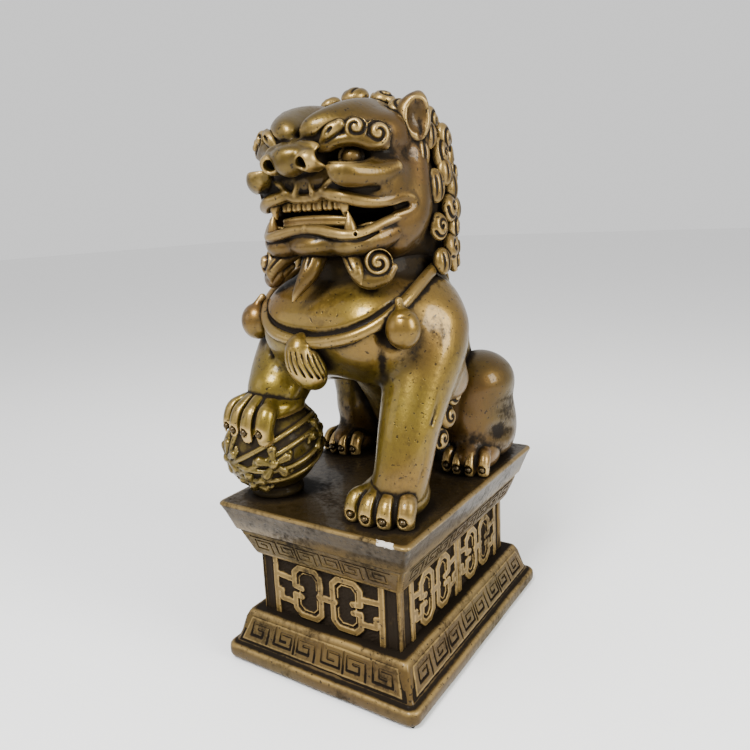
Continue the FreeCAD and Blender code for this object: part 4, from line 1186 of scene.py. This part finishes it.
def build_figure():
    add_piece("body", sculpt_trunk(), LION,
              ("body_trunk", "left_foreleg", "right_foreleg"))
    for side, hand in SIDES:
        add_piece(f"haunch_{hand}", sculpt_haunch(side), HEAD, (f"{hand}_hind_leg",))
    add_paws()
    add_pieces((
        ("embroidered_ball", sculpt_ball, BALL, "ball_finish", "ball"),
        ("head_form", sculpt_head, HEAD, "lion_finish", "head"),
        ("jaw", sculpt_jaw, HEAD, "lion_finish", "lower_jaw"),
        ("teeth_upper", sculpt_teeth_upper, DETAIL, "detail_finish", "upper_teeth"),
        ("teeth_lower", sculpt_teeth_lower, DETAIL, "detail_finish", "lower_teeth"),
    ))
    for name, sculpt, material, slot in (
            ("brow", sculpt_brow, HEAD, "lion_finish"),
            ("eye", sculpt_eye, DETAIL, "detail_finish")):
        clay = sculpt()
        for side, hand in SIDES:
            add_piece(f"{name}_{hand}", clay if side > 0 else mirrored_clay(clay), material,
                      (f"{hand}_{name}",))
    for side, hand in SIDES:
        for name, sculpt, material, slot, node in (
            ("ear", sculpt_ear, HEAD, "lion_finish", "ear"),
            ("jaw_spiral", sculpt_jaw_curl, HEAD, "lion_finish", "jaw_curl"),
            ("mane", sculpt_mane, CURLS, "mane_finish", "mane_curls"),
            ("bell", sculpt_side_bell, LION, "lion_finish", "bell"),
            ("elbow_tufts", sculpt_elbow_curls, CURLS, "mane_finish", "elbow_curls"),
        ):
            add_piece(f"{name}_{hand}", sculpt(side), material, (f"{hand}_{node}",))
    add_pieces((
        ("beard", sculpt_goatee, HEAD, "lion_finish", "goatee"),
        ("chin_leaves", sculpt_tufts, HEAD, "lion_finish", "chin_tufts"),
        ("crown", sculpt_crown, CURLS, "mane_finish", "crown_curls"),
        ("nape", sculpt_nape, CURLS, "mane_finish", "nape_curls"),
        ("collar_strap", sculpt_collar, LION, "lion_finish", "collar"),
        ("bell_chest", sculpt_chest_bell, LION, "lion_finish", "chest_bell"),
        ("tail_flame", sculpt_tail, CURLS, "mane_finish", "tail"),
        ("spine_curls", sculpt_spine, CURLS, "mane_finish", "spine_ridge"),
    ))


# ---------------------------------------------------------------------------
# Pedestal
# ---------------------------------------------------------------------------

def ripple(points, size, seed):
    """A gentle random wave over points, from about -1 to 1, with features of a given size."""
    random = np.random.default_rng(seed)
    total = np.zeros(len(points))
    for _ in range(12):
        direction = unit(random.normal(size=3)) / size * random.uniform(0.6, 1.6)
        total += np.sin(2 * math.pi * (points @ direction) + random.uniform(0, 2 * math.pi))
    return total / 5.0


def ring_loop(half_x, half_y, z, radius, step=0.8):
    """Points round a rounded rectangle, the same number for any size of it."""
    radius = max(min(radius, half_x - 0.02, half_y - 0.02), 0.02)
    along_x, along_y, around = int(76 / step), int(100 / step), 9
    out = []
    corners = ((1, -1, -90), (1, 1, 0), (-1, 1, 90), (-1, -1, 180))
    runs = (along_y, along_x, along_y, along_x)
    for (sx, sy, start), run in zip(corners, runs):
        cx, cy = sx * (half_x - radius), sy * (half_y - radius)
        arc = [(cx + radius * math.cos(math.radians(start + 90 * k / around)),
                cy + radius * math.sin(math.radians(start + 90 * k / around)))
                for k in range(around + 1)]
        out.extend(arc)
        nx, ny = {(1, -1): (half_x, half_y - radius), (1, 1): (-(half_x - radius), half_y),
                  (-1, 1): (-half_x, -(half_y - radius)),
                  (-1, -1): (half_x - radius, -half_y)}[(sx, sy)]
        x0, y0 = arc[-1]
        out.extend([(x0 + (nx - x0) * k / run, y0 + (ny - y0) * k / run) for k in range(1, run)])
    return np.array([(x, y, z) for x, y in out])


def add_ring(name, levels, material, replaced, wave=0.10, seed=1):
    """A closed form through rounded rectangles.

    Each level: half x, half y, z, corner radius, edge and crevice.
    """
    loops = [ring_loop(*level[:4]) for level in levels]
    count = len(loops[0])
    points = np.vstack(loops)
    middle = np.array([[0, 0, levels[0][2]], [0, 0, levels[-1][2]]], float)
    edge = np.concatenate([np.full(count, level[4]) for level in levels] + [[0, 0]])
    crevice = np.concatenate([np.full(count, level[5]) for level in levels] + [[0, 0]])
    away = points.copy()
    away[:, 2] = 0
    away = away / np.linalg.norm(away, axis=1, keepdims=True)
    points = points + away * (ripple(points, 26.0, seed) * wave)[:, None]
    faces = []
    for level in range(len(levels) - 1):
        a = level * count + np.arange(count)
        b = level * count + (np.arange(count) + 1) % count
        faces.append(np.stack([a, b, b + count, a + count], axis=1))
    faces = [list(face) for face in np.vstack(faces)]
    low, high = len(points), len(points) + 1
    last = (len(levels) - 1) * count
    faces += [[(i + 1) % count, i, low] for i in range(count)]
    faces += [[last + i, last + (i + 1) % count, high] for i in range(count)]
    return finish_stone(name, np.vstack([points, middle]), faces, edge, crevice, material,
                        replaced)


def finish_stone(name, points, faces, edge, crevice, material, replaced):
    obj = new_object(name, points * MM, faces)
    set_attribute(obj, "edge", edge)
    set_attribute(obj, "crevice", crevice)
    set_attribute(obj, "hollow", np.zeros(len(points)))
    obj.data.materials.append(material)
    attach(obj, "root")
    if replaced:
        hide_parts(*replaced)
    return obj


# The way along each face of the pedestal, and the way out from it
FACE_AXES = {"front": ((1, 0), (0, -1)), "left": ((0, 1), (1, 0)),
             "back": ((-1, 0), (0, 1)), "right": ((0, -1), (-1, 0))}


def add_relief(name, side, low, high, half_low, half_high, shape, thick, material, replaced,
               middle=0.0, step=0.24, seed=3):
    """A relief panel on a sloping face. low and high: its (outward, z); shape gives heights."""
    along, outward = (np.array(v, float) for v in FACE_AXES[side])
    slope = math.hypot(high[0] - low[0], high[1] - low[1])
    step = step * 1.0
    rows, columns = max(3, int(slope / step)), max(3, int(2 * max(half_low, half_high) / step))
    t, s = np.meshgrid(np.linspace(0, 1, rows), np.linspace(-1, 1, columns), indexing="ij")
    half = half_low + (half_high - half_low) * t
    u, v = s * half, t * slope
    height, edge, crevice = shape(u, v, half, slope)
    steep = (high[0] - low[0]) / slope, (high[1] - low[1]) / slope
    normal = (steep[1], -steep[0])
    reach = low[0] + (high[0] - low[0]) * t
    z = low[1] + (high[1] - low[1]) * t

    def lifted(w):
        r, zz = reach + w * normal[0], z + w * normal[1]
        xy = (u + middle)[..., None] * along + r[..., None] * outward
        return np.concatenate([xy, zz[..., None]], axis=2).reshape(-1, 3)

    front = lifted(height)
    wobble = ripple(front, 5.0, seed) * 0.06
    front = front + np.append(outward, 0) * wobble[:, None]
    back = lifted(np.full_like(height, -thick))
    total = rows * columns
    index = np.arange(total).reshape(rows, columns)
    corners = (index[:-1, :-1], index[:-1, 1:], index[1:, 1:], index[1:, :-1])
    a, b, c, d = (corner.ravel() for corner in corners)
    faces = [np.stack([a, b, c, d], 1), np.stack([a, d, c, b], 1) + total]
    rim = np.concatenate([index[0, :], index[1:, -1], index[-1, -2::-1], index[-2:0:-1, 0]])
    following = np.roll(rim, -1)
    faces.append(np.stack([rim, rim + total, following + total, following], 1))
    edge, crevice = np.broadcast_to(edge, height.shape), np.broadcast_to(crevice, height.shape)
    return finish_stone(name, np.vstack([front, back]), np.vstack(faces),
                        np.concatenate([edge.ravel(), np.zeros(total)]),
                        np.concatenate([crevice.ravel(), np.zeros(total)]), material,
                        replaced)


def path_distance(u, v, lines):
    """Distance to the nearest of several broken lines."""
    best = np.full(u.shape, 99.0)
    for line in lines:
        for (x0, y0), (x1, y1) in zip(line[:-1], line[1:]):
            dx, dy = x1 - x0, y1 - y0
            along = np.clip(((u - x0) * dx + (v - y0) * dy) / (dx * dx + dy * dy + 1e-9), 0, 1)
            best = np.minimum(best, np.hypot(u - x0 - along * dx, v - y0 - along * dy))
    return best


def ramp(value, low, high):
    t = np.clip((value - low) / (high - low), 0, 1)
    return t * t * (3 - 2 * t)


KEY = ((0.86, -0.02), (0.86, 0.86), (0.14, 0.86), (0.14, 0.20), (0.62, 0.20), (0.62, 0.58),
       (0.38, 0.58))


def key_lines(half, low, high, pairs):
    """Groove lines of a row of square spirals, every other one turned half round."""
    run = 2 * half / (2 * pairs)
    lines = []
    for pair in range(pairs):
        start = -half + 2 * pair * run
        tall = high - low
        lines.append([(start + x * run, low + y * tall) for x, y in KEY])
        lines.append([(start + (2 - x) * run, high - y * tall) for x, y in KEY])
        if pair:
            lines.append([(start, low), (start, high)])
    return lines


def key_frieze(pairs, rise, border):
    """A raised flat frieze inside a sunk border, with the key grooves cut in it."""
    def shape(u, v, half, slope):
        middle = half.mean()
        stretch = 1.0 + (half / middle - 1.0) * 0.55
        flat_u = u / stretch
        inside = np.minimum(half - border - np.abs(u),
                            np.minimum(v - border * 0.8, slope - border * 0.8 - v))
        field = ramp(inside, -0.30, 0.22)
        lines = key_lines(middle - border - 1.3, border * 0.8 + 1.1, slope - border * 0.8 - 1.1,
                          pairs)
        gap = path_distance(flat_u, v, lines)
        groove = 1 - ramp(gap, 0.16, 0.52)
        height = rise * field - 0.62 * groove * field
        edge = 0.30 * field * ramp(np.abs(inside), 0.9, 0.1) + 0.10 * field - 0.55 * groove
        crevice = -0.75 * ramp(np.abs(inside + 0.5), 1.1, 0.2) * (1 - field) - 0.9 * groove
        return height, edge, crevice
    return shape


def engraved_band(pairs):
    """A plain band with the key grooves cut straight in it."""
    def shape(u, v, half, slope):
        lines = key_lines(half.mean() - 3.2, 1.9, slope - 1.5, pairs)
        end = half.mean() - 2.6
        gap = path_distance(u, v, lines + [[(-end, slope - 0.9), (end, slope - 0.9)]])
        groove = 1 - ramp(gap, 0.12, 0.46)
        rim = ramp(np.minimum(np.minimum(v, slope - v), half - np.abs(u)), 0.9, 0.0)
        return -0.55 * groove - 0.5 * rim * rim, 0.22 * rim - 0.5 * groove, -0.9 * groove
    return shape


def octagon(x, y, half_w, half_h, chamfer, opening=None):
    """The outline of a tall octagon, open on one side when opening is -1 or 1."""
    w, h, c = half_w, half_h, chamfer
    loop = [(w, -h + c), (w, h - c), (w - c, h), (-w + c, h), (-w, h - c), (-w, -h + c),
            (-w + c, -h), (w - c, -h), (w, -h + c)]
    points = [(x + px, y + py) for px, py in loop]
    if opening is None:
        return [points]
    if opening < 0:
        upper = points[1:5] + [(x - w, y + 1.7), (x - w + 3.2, y + 1.2)]
        lower = [(x - w + 3.0, y - 1.9), (x - w, y - 1.7)] + points[5:] + points[1:2]
        return [upper, lower]
    upper = [(x + w - 3.2, y + 1.2), (x + w, y + 1.7)] + points[1:6]
    lower = points[5:9][:-1] + [(x + w, y - h + c), (x + w, y - 1.7), (x + w - 3.0, y - 1.9)]
    return [upper, lower]


def fretwork(u, v, half, slope):
    """Two linked octagonal rings between edge strips, over a dark rough ground."""
    w, mid = half.mean(), slope / 2 - 0.3
    ring_x, ring_w, ring_h = w * 0.355, w * 0.245, slope * 0.40
    bars, lips = [], []
    for side in (-1, 1):
        bars += octagon(side * ring_x, mid, ring_w, ring_h, 2.3, opening=side)
        lips += octagon(side * ring_x, mid, ring_w - 2.0, ring_h - 2.0, 1.7)
        strip = side * (w - 0.9)
        outer = side * (ring_x + ring_w)
        bars.append([(strip, -1), (strip, slope + 1)])
        bars.append([(strip, mid + 4.6), (outer, mid + 3.9)])
        bars.append([(strip, mid - 1.4), (side * (w - 3.2), mid - 1.8),
                     (side * (w - 3.2), mid - 4.6), (outer, mid - 5.0)])
    link = path_distance(u, v, [[(-ring_x + ring_w - 0.6, mid), (ring_x - ring_w + 0.6, mid)]])
    gap = np.minimum(path_distance(u, v, bars) - 1.28, link - 1.45)
    lip = path_distance(u, v, lips) - 0.34
    lip = np.where(link < 2.2, 9.0, lip)
    raised = ramp(gap, 0.20, -0.30)
    low_raised = ramp(lip, 0.14, -0.16)
    places = np.stack([u.ravel(), v.ravel(), u.ravel() * 0], 1) * 1.3
    rough = ripple(places, 2.2, 5).reshape(u.shape)
    ground = 1 - np.maximum(raised, low_raised)
    height = np.maximum(1.25 * raised, 0.85 * low_raised) + 0.16 * rough * ground
    rubbed = raised * (0.12 + 0.20 * ramp(np.abs(gap + 0.35), 0.4, 0.0))
    edge = np.maximum(rubbed, low_raised * 0.22) - 0.30 * ground
    crevice = -0.85 * ground * (0.8 + 0.35 * rough)
    return height, edge, crevice


def pillar(u, v, half, slope):
    """A corner post's face: a sunk brown face between light strips and dark grooves."""
    a = np.abs(u) / half
    groove = ramp(a, 0.62, 0.70) * ramp(a, 0.88, 0.80)
    strip = ramp(a, 0.84, 0.92)
    height = -0.75 * groove + 0.1 * strip - 0.25 * ramp(a, 0.5, 0.2)
    return height, 0.2 * strip - 0.4 * groove - 0.05, -0.9 * groove - 0.30 * (1 - strip)


def build_pedestal():
    foot_x, foot_y = FOOT_HIGH[0], FOOT_HIGH[1]
    low = float(FOOT_LOW[2])
    foot = [(foot_x - 1.2, foot_y - 1.2, low, 3.2, 0, -0.3),
            (foot_x - 0.35, foot_y - 0.35, low + 0.5, 3.4, 0.1, 0),
            (foot_x - 0.02, foot_y - 0.02, low + 1.4, 3.5, 0.04, 0),
            (foot_x, foot_y, low + 3.2, 3.5, 0.02, 0),
            (foot_x - 0.10, foot_y - 0.10, low + 4.3, 3.5, 0.14, 0),
            (foot_x - 0.5, foot_y - 0.5, low + 5.0, 3.4, 0.26, 0),
            (foot_x - 1.1, foot_y - 1.1, low + 5.3, 3.0, 0.14, 0),
            (foot_x - 1.7, foot_y - 1.7, low + 5.35, 2.6, -0.02, -0.25),
            (foot_x - 2.3, foot_y - 2.3, low + 5.6, 2.2, -0.12, -0.5),
            (foot_x - 2.7, foot_y - 2.7, low + 6.2, 1.8, 0.0, -0.1),
            (foot_x - 3.6, foot_y - 3.6, low + 7.6, 1.6, 0.04, 0), (34.6, 47.3, 15.6, 1.5, 0.04, 0),
            (33.7, 46.4, 17.4, 1.5, 0.16, 0), (33.2, 45.9, 18.1, 1.4, 0.26, 0),
            (32.4, 45.1, 18.4, 1.2, 0.10, -0.05), (30.6, 43.3, 18.3, 1.0, -0.2, -0.6),
            (29.0, 41.7, 18.3, 1.0, -0.3, -1.0), (20.0, 30.0, 18.3, 1.0, -0.3, -1.0)]
    add_ring("foot", foot, PLINTH, ("pedestal_foot",), 0.14, 11)
    flare_low, flare_high = (-2.75, low + 6.3), (46.15 - foot_y, 17.3)
    for side, across, out in (
            ("front", foot_x, foot_y), ("back", foot_x, foot_y), ("left", foot_y, foot_x),
            ("right", foot_y, foot_x)):
        pairs = 3 if across < out else 4
        add_relief(f"foot_frieze_{side}", side, (out + flare_low[0], flare_low[1]),
                   (out + flare_high[0], flare_high[1]), across - 4.4, across - 8.2,
                   key_frieze(pairs, 0.62, 1.2), 0.9, PLINTH,
                   (f"foot_key_panel_{side}",), seed=len(side))
    waist = [(27.6, 40.3, 17.8, 0.6, -0.3, -0.9), (27.6, 40.3, 20.5, 0.6, -0.2, -0.7),
             (27.6, 40.3, 38.5, 0.6, -0.2, -0.7), (27.6, 40.3, 41.0, 0.6, -0.3, -0.9)]
    add_ring("waist_core", waist, WAIST, ("pedestal_waist",), 0.05, 4)
    waist_low, waist_high = 18.2, 40.9
    add_relief("fret_front", "front", (40.95, waist_low), (40.75, waist_high), 23.2, 23.2, fretwork,
               0.8, WAIST, ("fret_panel_front",))
    add_relief("fret_back", "back", (40.95, waist_low), (40.75, waist_high), 23.2, 23.2, fretwork,
               0.8, WAIST, ("fret_panel_back",))
    for side, along in (("left", 1), ("right", -1)):
        for where, name in ((-1, "front"), (1, "rear")):
            middle = where * along * 17.6
            add_relief(f"fret_{side}_{name}", side, (28.25, waist_low), (28.05, waist_high), 17.0,
                       17.0, fretwork, 0.8, WAIST, (f"fret_panel_{side}_{name}",),
                       middle=middle)
    for sx, hand in ((1, "left"), (-1, "right")):
        for sy, end in ((-1, "front"), (1, "rear")):
            posts = []
            face_y, face_x = ("front" if sy < 0 else "back"), hand
            for part, (side, out, middle, wide) in enumerate((
                    (face_y, 41.3, 25.9 * sx * (1 if sy < 0 else -1), 2.9),
                    (face_x, 28.6, 37.7 * sy * (1 if sx > 0 else -1), 3.3))):
                obj = add_relief(f"post_{end}_{hand}_{part}", side, (out + 0.3, waist_low),
                                 (out, waist_high), wide, wide, pillar, 3.0, WAIST,
                                 (f"corner_post_{end}_{hand}",), middle=middle, step=0.3)
                posts.append(obj)
            join(posts, f"corner_pillar_{end}_{hand}")
    band = [(29.6, 42.4, 40.2, 1.0, -0.2, -0.5), (30.1, 42.9, 40.4, 1.4, 0.15, 0),
            (30.5, 43.3, 41.0, 1.5, 0.22, 0), (33.6, 46.4, 49.3, 1.6, 0.03, 0),
            (34.0, 46.8, 50.3, 1.6, 0.12, -0.1), (34.1, 46.9, 50.9, 1.5, -0.2, -0.6),
            (20, 30, 50.9, 1.5, -0.2, -0.6)]
    add_ring("key_band_core", band, PLINTH, (), 0.08, 6)
    for side, across, out, pairs in (
            ("front", 30.5, 43.1, 3), ("back", 30.5, 43.1, 3), ("left", 43.3, 30.3, 4),
            ("right", 43.3, 30.3, 4)):
        add_relief(f"key_band_{side}", side, (out + 0.55, 41.1), (out + 3.75, 49.6), across - 0.7,
                   across + 2.4, engraved_band(pairs), 1.2, PLINTH,
                   ("slab_key_band",))
    top_x, top_y, top = SLAB_HIGH[0], SLAB_HIGH[1], SLAB_TOP
    slab = [(33.6, 46.4, 50.4, 1.6, -0.2, -0.7), (34.6, 47.4, 50.7, 1.8, 0.02, -0.2),
            (35.2, 48.0, 51.2, 2.0, 0.18, 0), (top_x - 1.2, top_y - 1.2, 58.0, 2.4, 0.02, 0),
            (top_x - 0.25, top_y - 0.25, 60.2, 2.6, 0.05, 0),
            (top_x, top_y, top - 1.0, 2.6, 0.16, 0),
            (top_x - 0.10, top_y - 0.10, top - 0.55, 2.6, 0.3, 0),
            (top_x - 0.45, top_y - 0.45, top - 0.18, 2.4, 0.34, 0),
            (top_x - 1.0, top_y - 1.0, top - 0.02, 2.2, 0.22, 0),
            (top_x - 2.0, top_y - 2.0, top, 2.0, 0.02, 0),
            (top_x - 4.0, top_y - 4.0, top - 0.06, 2.0, 0, 0)]
    for k in range(1, 32):
        slab.append((top_x - 4.0 - k * 1.05, top_y - 4.0 - k * 1.4, top - 0.06, 2.0, 0, 0))
    slab_piece = add_ring("slab", slab, SLAB, ("pedestal_top_slab",), 0.16, 8)
    return slab_piece


def join(objects, name):
    """Several meshes as one object."""
    bpy.ops.object.select_all(action="DESELECT")
    for obj in objects:
        obj.select_set(True)
    bpy.context.view_layer.objects.active = objects[0]
    bpy.ops.object.join()
    objects[0].name = name
    return objects[0]


# ---------------------------------------------------------------------------
# Picture
# ---------------------------------------------------------------------------

CAMERA_PLACE = (133.88, -209.21, 156.90)
CAMERA_TURN, CAMERA_RISE, CAMERA_ROLL = 33.259, 13.029, 2.741    # degrees


def place_camera():
    data = bpy.data.cameras.new("camera")
    data.lens = 33.09
    data.sensor_width = 36.0
    data.clip_start = 0.01
    camera = bpy.data.objects.new("camera", data)
    bpy.context.scene.collection.objects.link(camera)
    camera.location = Vector(CAMERA_PLACE) * MM
    camera.rotation_euler = (Matrix.Rotation(math.radians(CAMERA_TURN), 3, "Z")
                             @ Matrix.Rotation(math.radians(90 - CAMERA_RISE), 3, "X")
                             @ Matrix.Rotation(math.radians(-CAMERA_ROLL), 3, "Z")).to_euler()
    bpy.context.scene.camera = camera


def area_light(name, place, aim, size, power, tint=(1, 1, 1)):
    data = bpy.data.lights.new(name, "AREA")
    data.shape = "RECTANGLE"
    data.size, data.size_y = size
    data.energy = power
    data.color = tint
    light = bpy.data.objects.new(name, data)
    bpy.context.scene.collection.objects.link(light)
    place, aim = Vector(place), Vector(aim)
    turn = (place - aim).to_track_quat("Z", "Y").to_matrix().to_4x4()
    light.matrix_world = Matrix.Translation(place) @ turn


def place_studio():
    n = Nodes("floor")
    shader = n.shader()
    shader["Base Color"].default_value = colour(0.90, 0.90, 0.90)
    shader["Roughness"].default_value = 0.9
    r = 4.0
    floor = new_object("floor", [(-r, -r, 0), (r, -r, 0), (r, r, 0), (-r, r, 0)],
                       np.array([[0, 1, 2, 3]]))
    floor.data.materials.append(n.material)
    world = bpy.data.worlds.new("studio")
    world.use_nodes = True
    world.node_tree.nodes["Background"].inputs[0].default_value = colour(1.0, 1.0, 1.0)
    world.node_tree.nodes["Background"].inputs[1].default_value = 1.0
    bpy.context.scene.world = world
    aim = (0, 0, 0.11)
    area_light("key", (0.03, -0.40, 0.56), aim, (0.20, 0.20), 7.0)
    area_light("side", (0.55, -0.02, 0.34), aim, (0.20, 0.34), 4.6, (1.0, 1.0, 0.93))
    area_light("fill", (-0.40, -0.46, 0.30), aim, (0.30, 0.30), 0.6, (1.0, 0.97, 0.94))


build_figure()
slab_piece = build_pedestal()
# The slab's top gets a painted shadow round the figure from the enclosure fields
measure_crevices([(slab_piece, ("crevice", "hollow"))])
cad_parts["base_felt"].data.materials.clear()
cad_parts["base_felt"].data.materials.append(felt_material())
place_camera()
place_studio()
